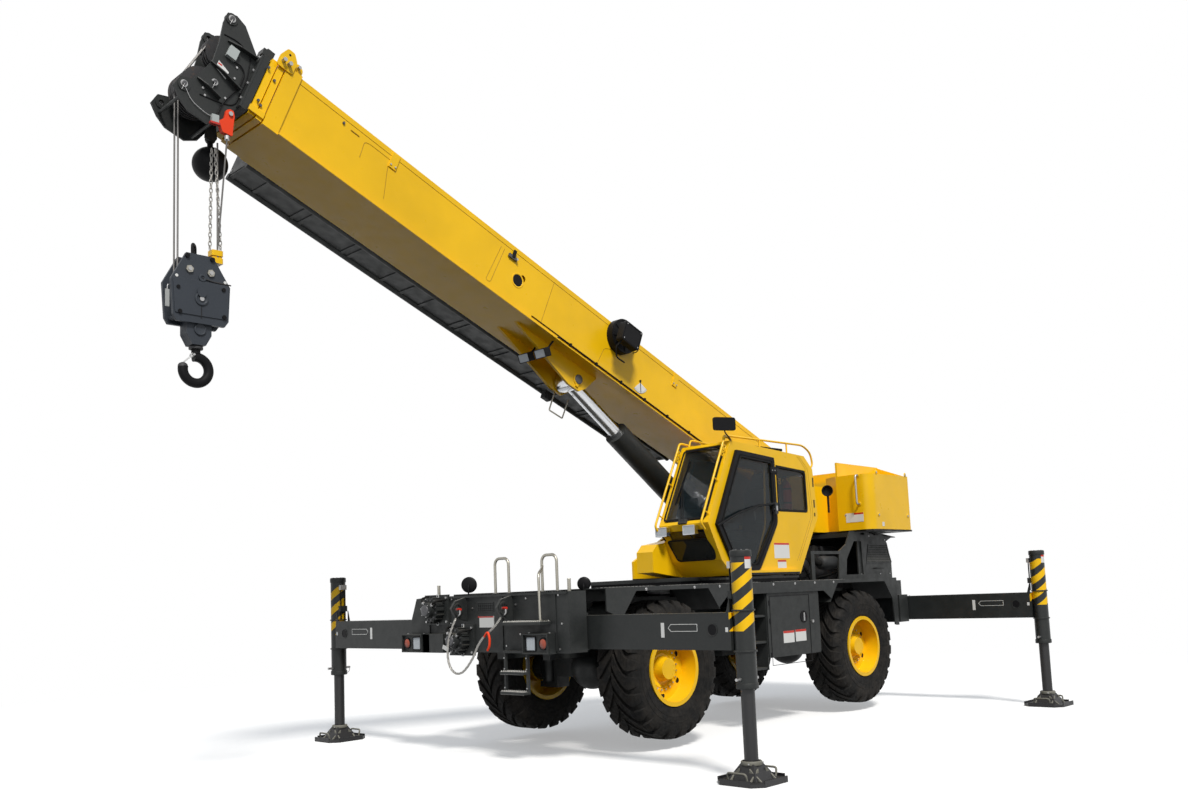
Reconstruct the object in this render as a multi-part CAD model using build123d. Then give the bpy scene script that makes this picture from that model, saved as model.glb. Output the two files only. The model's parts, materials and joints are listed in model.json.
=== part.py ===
from build123d import *
import math
import os

# Rough-terrain mobile crane. Millimetres. +X forward, +Y to the driver's left, +Z up.
# The origin lies on the ground under the middle of the machine's length and width.
# The machine stands on its four outrigger floats with its wheels just clear of the ground.

# ---- driving dimensions ------------------------------------------------------------------
REAR_AXLE_X = -3526.0
WHEELBASE = 3895.0
FRONT_AXLE_X = REAR_AXLE_X + WHEELBASE
SWING_X = REAR_AXLE_X + 2000.0      # centre of rotation of the superstructure
CARRIER_HALF_WIDTH = 1245.0

WHEEL_Z = 841.0                     # wheel centres, lifted by the outriggers
TYRE_RADIUS = 745.0                 # to the tips of the tread lugs
TYRE_WIDTH = 540.0
TRACK_HALF = 1000.0
RIM_RADIUS = 395.0
RIM_INNER_RADIUS = 350.0
KINGPIN_Y = 720.0
HUB_RADIUS = 140.0

DECK_TOP = 1735.0
DECK_PLATE = 12.0
FRAME_TOP = 1620.0
FRAME_BOTTOM = 1000.0
FRAME_HALF_WIDTH = 430.0
RAIL_WIDTH = 110.0

FIT = 0.3                           # seat clearance between parts that only touch
PIN_FIT = 0.08                      # radial running clearance on a pin
RUN = 8.0                           # clearance between parts that move past each other

# outriggers
JACK_Y = 3080.0
BEAM_Z = 1300.0
BEAM_HEIGHT = 330.0
BEAM_WIDTH = 190.0
BEAM_INNER_Y = 690.0
BEAM_WALL = 14.0
BOX_WALL = 17.0
BOX_MOUTH_Y = 1020.0
PAD_LENGTH = 60.0
JACK_TUBE_RADIUS = 92.0
JACK_TUBE_BORE = 74.0
JACK_TUBE_TOP = 2010.0
JACK_TUBE_BOTTOM = 800.0
JACK_ROD_RADIUS = 62.0
FLOAT_HALF_WIDTH = 255.0
FLOAT_CORNER = 90.0
FLOAT_PLATE = 32.0
FLOAT_HEIGHT = 165.0
JACK_LIFT = 560.0

# superstructure
TURNTABLE_BOTTOM = 1780.0
TURNTABLE_PLATE = 45.0
CAB_FLOOR = TURNTABLE_BOTTOM + TURNTABLE_PLATE + FIT
TOWER_INNER_Y = 385.0
TOWER_PLATE = 35.0
PIVOT_X = REAR_AXLE_X + 430.0
PIVOT_Z = 3080.0
PIVOT_PIN_RADIUS = 60.0
COUNTERWEIGHT_BOTTOM = 2420.0

# boom
BOOM_ANGLE = 22.4
BOOM_HALF_WIDTH = 330.0
BOOM_BOTTOM = -247.0                # below the pivot, square to the boom
BOOM_TOP = 413.0
BOOM_WALL = 8.0
PAD_GAP = 32.0
LIFT_PIN_U = 3820.0
LIFT_PIN_W = -410.0
LIFT_FOOT_X = REAR_AXLE_X + 1500.0
LIFT_FOOT_Z = 2320.0
NOSE_SHEAVE_U = 8770.0
NOSE_SHEAVE_W = -190.0

# cab
CAB_INNER_Y = 450.0
CAB_OUTER_Y = 1195.0
CAB_WALL = 40.0
GLASS = 6.0

SIDES = (("l", 1), ("r", -1))


# ---- helpers -----------------------------------------------------------------------------
def block(x0, x1, y0, y1, z0, z1):
    """A box between two corners."""
    size = (x1 - x0, y1 - y0, z1 - z0)
    return Pos((x0 + x1) / 2, (y0 + y1) / 2, (z0 + z1) / 2) * Box(*size)


def plate_xz(points, y0, y1):
    """A flat plate: an outline in X and Z, extruded from y0 to y1."""
    face = make_face(Polyline(*[(x, z) for x, z in points], close=True))
    return Plane(origin=(0, y0, 0), x_dir=(1, 0, 0), z_dir=(0, -1, 0)) * extrude(face, -(y1 - y0))


def prism_xy(points, z0, z1):
    face = make_face(Polyline(*points, close=True))
    return Pos(0, 0, z0) * extrude(face, z1 - z0)


def rod_y(x, z, y0, y1, radius):
    """A round bar along Y."""
    return Pos(x, (y0 + y1) / 2, z) * Rot(90, 0, 0) * Cylinder(radius, abs(y1 - y0))


def rod_z(x, y, z0, z1, radius):
    return Pos(x, y, (z0 + z1) / 2) * Cylinder(radius, z1 - z0)


def rod_x(y, z, x0, x1, radius):
    return Pos((x0 + x1) / 2, y, z) * Rot(0, 90, 0) * Cylinder(radius, x1 - x0)


def turned_y(x, z, points):
    """A solid of revolution about a line along Y: points are (y, radius)."""
    face = make_face(Polyline(*[(r, y) for y, r in points], close=True))
    body = revolve(face, Axis.Y)
    return Pos(x, 0, z) * body


def bent_bar(points, radius, bends):
    """A bar of round section along a path with rounded corners."""
    path = FilletPolyline(*points, radius=bends)
    start = path ^ 0
    return sweep(Plane(origin=start.position, z_dir=path % 0) * Circle(radius), path)


def joined(parts):
    whole = parts[0]
    for part in parts[1:]:
        whole = whole + part
    return whole


def cut(body, tools):
    for tool in tools:
        body = body - tool
    return body


BOOM_PLACE = Pos(PIVOT_X, 0, PIVOT_Z) * Rot(0, -BOOM_ANGLE, 0)


def on_boom(shape):
    """Moves a shape drawn along the boom (X along it, Z square to it) to the raised boom."""
    return BOOM_PLACE * shape


def boom_point(u, w):
    a = math.radians(BOOM_ANGLE)
    return (PIVOT_X + u * math.cos(a) - w * math.sin(a), PIVOT_Z + u * math.sin(a) + w * math.cos(a))


NODES = {}


def keep(name, shape):
    solids = shape.solids()
    NODES[name] = Compound(solids) if len(solids) > 1 else solids[0]


# ---- carrier -----------------------------------------------------------------------------
FRONT_REACH = 1180.0                # front axle to the near front beam
REAR_REACH = 1385.0                 # rear axle back to the near rear beam
BEAM_SPACING = 240.0
# each outrigger: name, beam centre in X, side
FRONT_NEAR_X = FRONT_AXLE_X + FRONT_REACH
FRONT_FAR_X = FRONT_NEAR_X + BEAM_SPACING
REAR_NEAR_X = REAR_AXLE_X - REAR_REACH
REAR_FAR_X = REAR_NEAR_X + BEAM_SPACING
OUTRIGGERS = (
    ("fl", FRONT_NEAR_X, 1),
    ("fr", FRONT_FAR_X, -1),
    ("rl", REAR_NEAR_X, 1),
    ("rr", REAR_FAR_X, -1),
)


def carrier_frame():
    rails = []
    for _, side in SIDES:
        y0, y1 = sorted((side * FRAME_HALF_WIDTH, side * (FRAME_HALF_WIDTH - RAIL_WIDTH)))
        rails.append(block(REAR_FAR_X + 120 + FIT, FRONT_NEAR_X - 120 - FIT, y0, y1, FRAME_BOTTOM, FRAME_TOP))
    inner = FRAME_HALF_WIDTH - RAIL_WIDTH
    cross = [
        block(x, x + 60, -inner, inner, FRAME_BOTTOM + 80, FRAME_TOP)
        for x in (REAR_AXLE_X - 560, REAR_AXLE_X + 620, FRONT_AXLE_X - 995, FRONT_AXLE_X + 405)
    ]
    ring_bed = block(SWING_X - 640, SWING_X + 640, -640, 640, FRAME_TOP - 30, FRAME_TOP + 20)
    return joined(rails + cross + [ring_bed])


def slew_ring():
    outer = Pos(SWING_X, 0, (FRAME_TOP + 20 + TURNTABLE_BOTTOM) / 2)
    height = TURNTABLE_BOTTOM - FRAME_TOP - 20 - 2 * FIT
    return outer * (Cylinder(600, height) - Cylinder(480, height))


ENGINE_FRONT_X = REAR_AXLE_X - 260.0
ENGINE_REAR_X = REAR_AXLE_X - 990.0
ARCH_TOP = 1690.0
ARCH_FOOT = 1450.0
MUDGUARD = 10.0


def wheel_arch(axle_x, y0, y1, grow=0.0):
    """The opening of a mudguard over a wheel."""
    low, high = 1050.0, ARCH_TOP + grow
    points = [
        (axle_x - 870 - grow, low),
        (axle_x - 830 - grow, ARCH_FOOT),
        (axle_x - 640 - grow / 2, high),
        (axle_x + 560 + grow / 2, high),
        (axle_x + 760 + grow, ARCH_FOOT),
        (axle_x + 790 + grow, low),
    ]
    return plate_xz(points, y0, y1)


def mudguard(axle_x, side):
    """The bent plate under the deck's edge, over the tyre."""
    y0, y1 = sorted((side * (CARRIER_HALF_WIDTH - 1), side * (KINGPIN_Y - 20)))
    shell = wheel_arch(axle_x, y0, y1, MUDGUARD) - wheel_arch(axle_x, y0 - 1, y1 + 1)
    below = block(axle_x - 1000, axle_x + 1000, y0 - 2, y1 + 2, 0, ARCH_FOOT)
    return shell - below


def carrier_deck():
    """Deck plates with turned-down skirts and the mudguards' arches."""
    rear, front = REAR_FAR_X + 170, FRONT_NEAR_X - 165
    top = block(rear, front, -CARRIER_HALF_WIDTH, CARRIER_HALF_WIDTH, DECK_TOP - DECK_PLATE, DECK_TOP)
    top = top - Pos(SWING_X, 0, DECK_TOP) * Cylinder(660, 100)
    hood_hole = block(rear - 1, ENGINE_FRONT_X + 60, -700, 700, DECK_TOP - 50, DECK_TOP + 50)
    pieces = [top - hood_hole]
    for _, side in SIDES:
        y0, y1 = sorted((side * CARRIER_HALF_WIDTH, side * (CARRIER_HALF_WIDTH - 15)))
        skirt = plate_xz(
            [
                (rear, 1075),
                (rear + 60, 1075),
                (REAR_AXLE_X + 640, 1440),
                (REAR_AXLE_X + 900, 1600),
                (FRONT_AXLE_X - 995, 1600),
                (FRONT_AXLE_X - 760, 1420),
                (FRONT_AXLE_X + 800, 1420),
                (front, 1500),
                (front, DECK_TOP - 1),
                (rear, DECK_TOP - 1),
            ],
            y0,
            y1,
        )
        for axle_x in (REAR_AXLE_X, FRONT_AXLE_X):
            skirt = skirt - wheel_arch(axle_x, y0 - 1, y1 + 1)
            pieces.append(mudguard(axle_x, side))
        pieces.append(skirt)
        # brackets from the frame's rails out to the deck's edge
        for x0 in (REAR_AXLE_X - 900, REAR_AXLE_X + 830, FRONT_AXLE_X - 935, FRONT_AXLE_X + 825):
            b0, b1 = sorted((side * (FRAME_HALF_WIDTH + FIT), side * (CARRIER_HALF_WIDTH - 14)))
            pieces.append(block(x0, x0 + 12, b0, b1, 1600, DECK_TOP - DECK_PLATE + 1))
    return joined(pieces)


def outrigger_box(near_x, far_x):
    """Two square tubes side by side, across the carrier: each carries one beam."""
    half = BEAM_WIDTH / 2 + RUN + BOX_WALL
    low = BEAM_Z - BEAM_HEIGHT / 2 - RUN - BOX_WALL
    high = BEAM_Z + BEAM_HEIGHT / 2 + RUN + BOX_WALL
    middle = (near_x + far_x) / 2
    body = None
    # beam centre, side, rear and front faces
    for x, side, x0, x1 in ((near_x, 1, near_x - half, middle), (far_x, -1, middle, far_x + half)):
        y_mouth, y_end = side * BOX_MOUTH_Y, -side * (CARRIER_HALF_WIDTH - 5)
        y0, y1 = sorted((y_mouth, y_end))
        shell = block(x0, x1, y0, y1, low, high)
        bore_end = y_end + side * BOX_WALL
        c0, c1 = sorted((y_mouth + side, bore_end))
        gap = half - BOX_WALL
        bore = block(x - gap, x + gap, c0, c1, low + BOX_WALL, high - BOX_WALL)
        shell = shell - bore
        pad = RUN - FIT
        p0, p1 = sorted((y_mouth, y_mouth - side * PAD_LENGTH))
        frame = block(x - gap - 1, x + gap + 1, p0, p1, low + BOX_WALL - 1, high - BOX_WALL + 1)
        open_w, open_h = gap - pad, BEAM_HEIGHT / 2 + FIT
        frame = frame - block(x - open_w, x + open_w, p0 - 1, p1 + 1, BEAM_Z - open_h, BEAM_Z + open_h)
        shell = shell + frame
        body = shell if body is None else body + shell
    return body


def front_box():
    body = outrigger_box(FRONT_NEAR_X, FRONT_FAR_X)
    half = BEAM_WIDTH / 2 + RUN + BOX_WALL
    high = BEAM_Z + BEAM_HEIGHT / 2 + RUN + BOX_WALL
    x0, x1 = FRONT_FAR_X - half, FRONT_FAR_X + half
    # raised front cross box that closes the carrier's nose
    nose = block(x0, x1, -BOX_MOUTH_Y, CARRIER_HALF_WIDTH - 5, high - 1, DECK_TOP - 20)
    hollow = block(x0 + 12, x1 - 12, -BOX_MOUTH_Y + 12, CARRIER_HALF_WIDTH - 17, high - 2, DECK_TOP - 32)
    return body + (nose - hollow)


def rear_box():
    body = outrigger_box(REAR_NEAR_X, REAR_FAR_X)
    half = BEAM_WIDTH / 2 + RUN + BOX_WALL
    high = BEAM_Z + BEAM_HEIGHT / 2 + RUN + BOX_WALL
    x0, x1 = REAR_NEAR_X - half, REAR_FAR_X + half
    top = DECK_TOP - 40
    cover = block(x0, x1, -BOX_MOUTH_Y, BOX_MOUTH_Y, high - 1, top)
    hollow = block(x0 + 12, x1 - 12, -BOX_MOUTH_Y + 12, BOX_MOUTH_Y - 12, high - 2, top - 12)
    return body + (cover - hollow)


def side_lockers():
    """Left: the battery and tool locker. Right: the fuel and hydraulic tank."""
    x0, x1 = REAR_AXLE_X + 1000, REAR_AXLE_X + 2120
    left = block(x0, x1, 700, CARRIER_HALF_WIDTH - 25, 830, 1599)
    left = fillet(left.edges().filter_by(Axis.Y), 25)
    right = block(REAR_AXLE_X + 1000, REAR_AXLE_X + 2600, -(CARRIER_HALF_WIDTH - 40), -700, 860, 1599)
    right = fillet(right.edges().filter_by(Axis.X), 90)
    arms = []
    for side, ends in ((1, (x0 + 150, x1 - 200)), (-1, (x0 + 150, x1 + 250))):
        y0, y1 = sorted((side * (FRAME_HALF_WIDTH + FIT), side * 701))
        arms += [block(x, x + 60, y0, y1, 1150, 1450) for x in ends]
    # steps beside the left locker
    outer = CARRIER_HALF_WIDTH - 40
    stiles = [block(x, x + 15, outer - 200, outer, 690, 1599) for x in (x1 - 1, x1 + 330)]
    treads = [block(x1, x1 + 331, outer - 180, outer - 10, z, z + 25) for z in (700, 1010, 1320)]
    return joined([left, arms[0], arms[1]] + stiles + treads) + joined([right, arms[2], arms[3]])


HOOD_FRONT_X = REAR_AXLE_X - 600.0
HOOD_REAR_X = REAR_AXLE_X - 1520.0
HOOD_HALF_WIDTH = 880.0
HOOD_TOP = 2375.0
HOOD_WALL = 20.0
HOOD_BASE = DECK_TOP + FIT


def engine_hood():
    """Hood over the engine, its two side towers and the open frame ahead of them."""
    rear, wall = HOOD_REAR_X, HOOD_WALL
    outline = [
        (HOOD_FRONT_X, HOOD_BASE),
        (HOOD_FRONT_X, HOOD_TOP),
        (rear + 215, HOOD_TOP),
        (rear + 90, 2240),
        (rear, 1960),
        (rear, HOOD_BASE),
    ]
    inner = [
        (HOOD_FRONT_X + 1, HOOD_BASE - 1),
        (HOOD_FRONT_X + 1, HOOD_TOP - wall),
        (rear + 206, HOOD_TOP - wall),
        (rear + 90 + wall, 2233),
        (rear + wall, 1957),
        (rear + wall, HOOD_BASE - 1),
    ]
    body = plate_xz(outline, -HOOD_HALF_WIDTH, HOOD_HALF_WIDTH)
    body = body - plate_xz(inner, -HOOD_HALF_WIDTH + wall, HOOD_HALF_WIDTH - wall)
    # air scoop at the rear
    scoop = [
        (rear + 82, 2195),
        (rear - 185, 2195),
        (rear - 330, 2300),
        (rear - 350, 2288),
        (rear - 180, 2175),
        (rear + 82, 2175),
    ]
    body = body + plate_xz(scoop, -560, 560)
    x = REAR_AXLE_X
    tower = [
        (x - 40, HOOD_BASE),
        (x - 80, 2125),
        (x - 270, 2220),
        (x - 400, 2405),
        (x - 900, 2405),
        (x - 830, 2200),
        (x - 720, HOOD_BASE),
    ]
    window = [(x - 240, 1800), (x - 270, 2015), (x - 480, 2265), (x - 670, 2265), (x - 690, 1800)]
    for _, side in SIDES:
        y0, y1 = sorted((side * (HOOD_HALF_WIDTH - 1), side * (HOOD_HALF_WIDTH + wall)))
        plate = plate_xz(tower, y0, y1) - plate_xz(window, y0 - 1, y1 + 1)
        rail = block(x - 90, x + 620, y0, y1, 2085, 2125)
        post = block(x + 540, x + 620, y0, y1, HOOD_BASE, 2086)
        body = joined([body, plate, rail, post])
    return body + block(x - 480, x - 420, -HOOD_HALF_WIDTH, HOOD_HALF_WIDTH, 2330, 2390)


def engine_block():
    body = block(ENGINE_REAR_X, ENGINE_FRONT_X, -300, 300, FRAME_TOP + 20, 2230)
    feet = [
        block(x, x + 70, y0, y1, FRAME_TOP + FIT, FRAME_TOP + 90)
        for x in (ENGINE_REAR_X + 40, ENGINE_FRONT_X - 320)
        for y0, y1 in ((-FRAME_HALF_WIDTH, -299), (299, FRAME_HALF_WIDTH))
    ]
    return joined([body] + feet)


def drive_line():
    """Gearbox between the rails and a shaft to each axle."""
    x0 = REAR_AXLE_X + 1250
    box = block(x0, x0 + 520, -230, 230, 820, 1350)
    reach = FRAME_HALF_WIDTH - RAIL_WIDTH - FIT
    ears = [block(x0 + 200, x0 + 320, y0, y1, 1150, 1250) for y0, y1 in ((229, reach), (-reach, -229))]
    rear = rod_x(0, WHEEL_Z, REAR_AXLE_X + 420 + FIT, x0 + 1, 45)
    front = rod_x(0, WHEEL_Z, x0 + 519, FRONT_AXLE_X - 420 - FIT, 45)
    return joined([box] + ears + [rear, front])


def axle(axle_x):
    """Rigid axle: beam, differential and a forked yoke at each end."""
    beam = block(axle_x - 110, axle_x + 110, -520, 520, WHEEL_Z - 110, WHEEL_Z + 110)
    ball = Pos(axle_x, 0, WHEEL_Z) * Sphere(250)
    snout = rod_x(0, WHEEL_Z, axle_x - 420, axle_x + 420, 90)
    other = 1 if axle_x > REAR_AXLE_X + 100 else -1
    trim = block(axle_x, axle_x + 500, -95, 95, WHEEL_Z - 95, WHEEL_Z + 95)
    if other < 0:
        trim = block(axle_x - 500, axle_x, -95, 95, WHEEL_Z - 95, WHEEL_Z + 95)
    snout = snout - trim
    pieces = [beam, ball, snout]
    for _, side in SIDES:
        y0, y1 = sorted((side * 300, side * (FRAME_HALF_WIDTH - 10)))
        pieces.append(block(axle_x - 110, axle_x + 110, y0, y1, WHEEL_Z, FRAME_BOTTOM))
        a0, a1 = sorted((side * 519, side * (KINGPIN_Y + 85)))
        back0, back1 = sorted((side * 500, side * 560))
        pieces.append(block(axle_x - 95, axle_x + 95, back0, back1, WHEEL_Z - 240, WHEEL_Z + 240))
        for z0, z1 in ((WHEEL_Z + 175, WHEEL_Z + 240), (WHEEL_Z - 240, WHEEL_Z - 175)):
            pieces.append(block(axle_x - 85, axle_x + 85, a0, a1, z0, z1))
    return joined(pieces)


WHEELS = (
    ("fl", FRONT_AXLE_X, 1),
    ("fr", FRONT_AXLE_X, -1),
    ("rl", REAR_AXLE_X, 1),
    ("rr", REAR_AXLE_X, -1),
)


def knuckle(x, side):
    """Steering knuckle: kingpin post in the yoke and the hub's spindle."""
    post = rod_z(x, side * KINGPIN_Y, WHEEL_Z - 175 + FIT, WHEEL_Z + 175 - FIT, 95)
    y0, y1 = sorted((side * KINGPIN_Y, side * 860))
    drum = rod_y(x, WHEEL_Z, y0, y1, 165)
    s0, s1 = sorted((side * 859, side * 1100))
    spindle = rod_y(x, WHEEL_Z, s0, s1, 70)
    return post + drum + spindle


def rim(x, side):
    s = side
    outline = [
        (s * 745, RIM_RADIUS),
        (s * 745, RIM_INNER_RADIUS),
        (s * 1010, RIM_INNER_RADIUS - 10),
        (s * 1010, 180),
        (s * (860 + RUN), 180),
        (s * (860 + RUN), 70 + PIN_FIT),
        (s * 1100 + s * RUN, 70 + PIN_FIT),
        (s * 1100 + s * RUN, 0),
        (s * 1160, 0),
        (s * 1160, 110),
        (s * 1060, HUB_RADIUS),
        (s * 1050, RIM_INNER_RADIUS - 10),
        (s * 1245, RIM_INNER_RADIUS),
        (s * 1245, RIM_RADIUS),
        (s * 1225, RIM_RADIUS),
        (s * 1215, RIM_RADIUS - 18),
        (s * 775, RIM_RADIUS - 18),
        (s * 765, RIM_RADIUS),
    ]
    return turned_y(x, WHEEL_Z, outline)


def tyre(x, side):
    s = side
    mid, half = TRACK_HALF, TYRE_WIDTH / 2
    seat = RIM_RADIUS - 18 + FIT
    outline = [
        (s * (mid - 220), seat),
        (s * (mid - 232), RIM_RADIUS + 5),
        (s * (mid - 246), RIM_RADIUS + 35),
        (s * (mid - half), 560),
        (s * (mid - half + 12), 660),
        (s * (mid - half + 55), TYRE_RADIUS - 12),
        (s * (mid - 120), TYRE_RADIUS),
        (s * (mid + 120), TYRE_RADIUS),
        (s * (mid + half - 55), TYRE_RADIUS - 12),
        (s * (mid + half - 12), 660),
        (s * (mid + half), 560),
        (s * (mid + 246), RIM_RADIUS + 35),
        (s * (mid + 222), RIM_RADIUS + 5),
        (s * (mid + 210), seat),
    ]
    return turned_y(x, WHEEL_Z, outline)


def outrigger_beam(x, side):
    """Square beam with the jack's tube at its outer end."""
    half_w, half_h = BEAM_WIDTH / 2, BEAM_HEIGHT / 2
    outer = JACK_Y - JACK_TUBE_RADIUS + 12
    y0, y1 = sorted((side * BEAM_INNER_Y, side * outer))
    beam = block(x - half_w, x + half_w, y0, y1, BEAM_Z - half_h, BEAM_Z + half_h)
    h0, h1 = sorted((side * (BEAM_INNER_Y - 1), side * (outer - 60)))
    t = BEAM_WALL
    beam = beam - block(x - half_w + t, x + half_w - t, h0, h1, BEAM_Z - half_h + t, BEAM_Z + half_h - t)
    # wear pads round the inner end, running in the box
    pad = RUN - FIT
    p0, p1 = sorted((side * BEAM_INNER_Y, side * (BEAM_INNER_Y + PAD_LENGTH)))
    frame = block(x - half_w - pad, x + half_w + pad, p0, p1, BEAM_Z - half_h - pad, BEAM_Z + half_h + pad)
    bore_w, bore_h = half_w - 1, half_h - 1
    frame = frame - block(x - bore_w, x + bore_w, p0 - 1, p1 + 1, BEAM_Z - bore_h, BEAM_Z + bore_h)
    beam = beam + frame
    tube = rod_z(x, side * JACK_Y, JACK_TUBE_BOTTOM, JACK_TUBE_TOP, JACK_TUBE_RADIUS)
    bore = rod_z(x, side * JACK_Y, JACK_TUBE_BOTTOM - 1, JACK_TUBE_TOP - 25, JACK_TUBE_BORE)
    return (beam + tube) - bore


def jack_rod(x, side):
    """Jack rod with its float: a cut-cornered plate under a four-sided cast foot."""
    y = side * JACK_Y
    rod = rod_z(x, y, FLOAT_HEIGHT - 20, JACK_TUBE_BOTTOM + 560, JACK_ROD_RADIUS)
    piston = rod_z(x, y, JACK_TUBE_BOTTOM + 500, JACK_TUBE_BOTTOM + 560, JACK_TUBE_BORE - PIN_FIT)
    a, b = FLOAT_HALF_WIDTH, FLOAT_HALF_WIDTH - FLOAT_CORNER
    corners = [(a, -b), (a, b), (b, a), (-b, a), (-a, b), (-a, -b), (-b, -a), (b, -a)]
    plate = prism_xy([(x + p, y + q) for p, q in corners], 0, FLOAT_PLATE)
    foot = extrude(Rectangle(1.2 * a, 1.2 * a), FLOAT_HEIGHT - FLOAT_PLATE, taper=32)
    foot = Pos(x, y, FLOAT_PLATE - 1) * foot
    cup = rod_z(x, y, FLOAT_HEIGHT - 30, FLOAT_HEIGHT + 20, 84)
    rims = []
    for _, s in SIDES:
        edge = s * (a - 12)
        rims.append(block(x - b, x + b, *sorted((y + edge, y + s * a)), FLOAT_PLATE - 1, FLOAT_PLATE + 22))
        rims.append(block(*sorted((x + edge, x + s * a)), y - b, y + b, FLOAT_PLATE - 1, FLOAT_PLATE + 22))
    return joined([rod, piston, plate, foot, cup] + rims)


def front_fittings():
    """Tow lugs, lamp boxes, hose-swivel hubs, step and ladder on the carrier's nose."""
    face = FRONT_FAR_X + BEAM_WIDTH / 2 + RUN + BOX_WALL + FIT
    pieces = []
    for y in (-360.0, 390.0):
        lug = plate_xz(
            [(face, 1440), (face, 1700), (face + 150, 1660), (face + 210, 1580), (face + 150, 1480)],
            y - 17,
            y + 17,
        )
        pieces.append(lug - rod_y(face + 120, 1570, y - 20, y + 20, 42))
    for y, z in ((-850.0, 1570.0), (-420.0, 1240.0)):
        pieces.append(block(face, face + 25, y - 210, y + 210, z - 165, z + 165))
        pieces.append(rod_x(y, z, face + 24, face + 120, 130))
        pieces.append(rod_x(y, z, face + 119, face + 180, 85))
    for y0, y1 in ((660.0, 1040.0), (-1040.0, -660.0)):
        pieces.append(block(face, face + 90, y0, y1, 1105, 1310))
    step = block(face, face + 150, 400, 980, 1395, 1425)
    ladder = [block(face + 20, face + 50, y, y + 25, 700, 1130) for y in (300.0, 640.0)]
    treads = [block(face + 20, face + 110, 300, 665, z, z + 25) for z in (700.0, 900.0)]
    hang = block(face, face + 60, 300, 665, 1110, 1135)
    return joined(pieces + [step] + ladder + treads + [hang])


def handrails():
    """Two grab rails on the carrier's nose and four marker posts."""
    top = DECK_TOP - 20 + FIT
    rails = []
    for x, y in ((FRONT_FAR_X, 110.0), (FRONT_FAR_X, 850.0)):
        points = [(x, y - 110, top), (x, y - 110, 2090), (x, y + 110, 2090), (x, y + 110, top)]
        rails.append(bent_bar(points, 15, 70))
    posts = [rod_z(FRONT_FAR_X, y, top, top + 110, 18) for y in (-990.0, 1130.0)]
    return Compound([s for part in rails + posts for s in part.solids()])


# ---- superstructure ----------------------------------------------------------------------
def turntable_frame():
    base_top = TURNTABLE_BOTTOM + TURNTABLE_PLATE
    base = Pos(SWING_X, 0, TURNTABLE_BOTTOM + TURNTABLE_PLATE / 2) * Cylinder(700, TURNTABLE_PLATE)
    deck = block(SWING_X - 900, SWING_X + 1150, -760, 760, TURNTABLE_BOTTOM, base_top)
    left_deck = block(SWING_X - 700, SWING_X + 800, 700, 1150, TURNTABLE_BOTTOM, TURNTABLE_BOTTOM + 25)
    pieces = [base, deck, left_deck]
    x = REAR_AXLE_X
    outline = [
        (x + 2700, base_top - 1),
        (x + 2700, 2060),
        (x + 2000, 2420),
        (x + 1150, 2800),
        (x + 760, 3200),
        (x + 620, 3270),
        (x + 230, 3270),
        (x - 150, 3080),
        (x - 1050, 3080),
        (x - 1050, COUNTERWEIGHT_BOTTOM),
        (x + 250, COUNTERWEIGHT_BOTTOM),
        (x + 1050, base_top - 1),
    ]
    for _, side in SIDES:
        y0, y1 = sorted((side * TOWER_INNER_Y, side * (TOWER_INNER_Y + TOWER_PLATE)))
        tower = plate_xz(outline, y0, y1)
        pieces.append(tower)
        s0, s1 = sorted((side * 156, side * (TOWER_INNER_Y + 1)))
        pieces.append(rod_y(LIFT_FOOT_X, LIFT_FOOT_Z, s0, s1, 55))
    back = block(x - 1050, x - 1010, -TOWER_INNER_Y - 1, TOWER_INNER_Y + 1, COUNTERWEIGHT_BOTTOM, 3000)
    reach = TOWER_INNER_Y + 1
    floor = block(x - 1050, x + 250, -reach, reach, COUNTERWEIGHT_BOTTOM, COUNTERWEIGHT_BOTTOM + 30)
    pin_end = TOWER_INNER_Y + TOWER_PLATE + 25
    pin = rod_y(PIVOT_X, PIVOT_Z, -pin_end, pin_end, PIVOT_PIN_RADIUS)
    return joined(pieces + [back, floor, pin])


COUNTERWEIGHT_TOP = 3200.0
COUNTERWEIGHT_CREST = 3400.0
COUNTERWEIGHT_PLATE = 28.0


def counterweight():
    """Cast block round the turntable's tail, with raised plates along its inner sides and rear."""
    x_front, x_wing, x_rear = REAR_AXLE_X - 500, REAR_AXLE_X - 1051, REAR_AXLE_X - 1700
    inner = TOWER_INNER_Y + TOWER_PLATE + FIT
    shoulder, outer = 660.0, CARRIER_HALF_WIDTH - 50
    outline = [
        (x_rear, -outer + 115),
        (x_rear + 110, -outer),
        (x_front, -outer),
        (x_front, -shoulder),
        (x_front - 120, -inner),
        (x_wing, -inner),
        (x_wing, inner),
        (x_front - 120, inner),
        (x_front, shoulder),
        (x_front, outer),
        (x_rear + 110, outer),
        (x_rear, outer - 115),
    ]
    body = prism_xy(outline, COUNTERWEIGHT_BOTTOM, COUNTERWEIGHT_TOP)
    upright = [e for e in body.edges().filter_by(Axis.Z) if e.center().X > x_front - 1]
    ends = [e for e in upright if abs(e.center().Y) > outer - 1]
    body = fillet(ends, 150)
    low, crest = COUNTERWEIGHT_TOP - 1, COUNTERWEIGHT_CREST - 10
    t = COUNTERWEIGHT_PLATE
    for _, side in SIDES:
        y0, y1 = sorted((side * shoulder, side * (shoulder + t)))
        fin = [(x_front, low), (x_front, COUNTERWEIGHT_CREST), (x_rear + 60, crest), (x_rear + 60, low)]
        body = body + plate_xz(fin, y0, y1)
    rear = [(-outer + 40, low), (outer - 40, low), (shoulder, crest), (-shoulder, crest)]
    face = make_face(Polyline(*rear, close=True))
    wall = Plane(origin=(x_rear + 60, 0, 0), x_dir=(0, 1, 0), z_dir=(1, 0, 0)) * extrude(face, t)
    return body + wall


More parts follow.
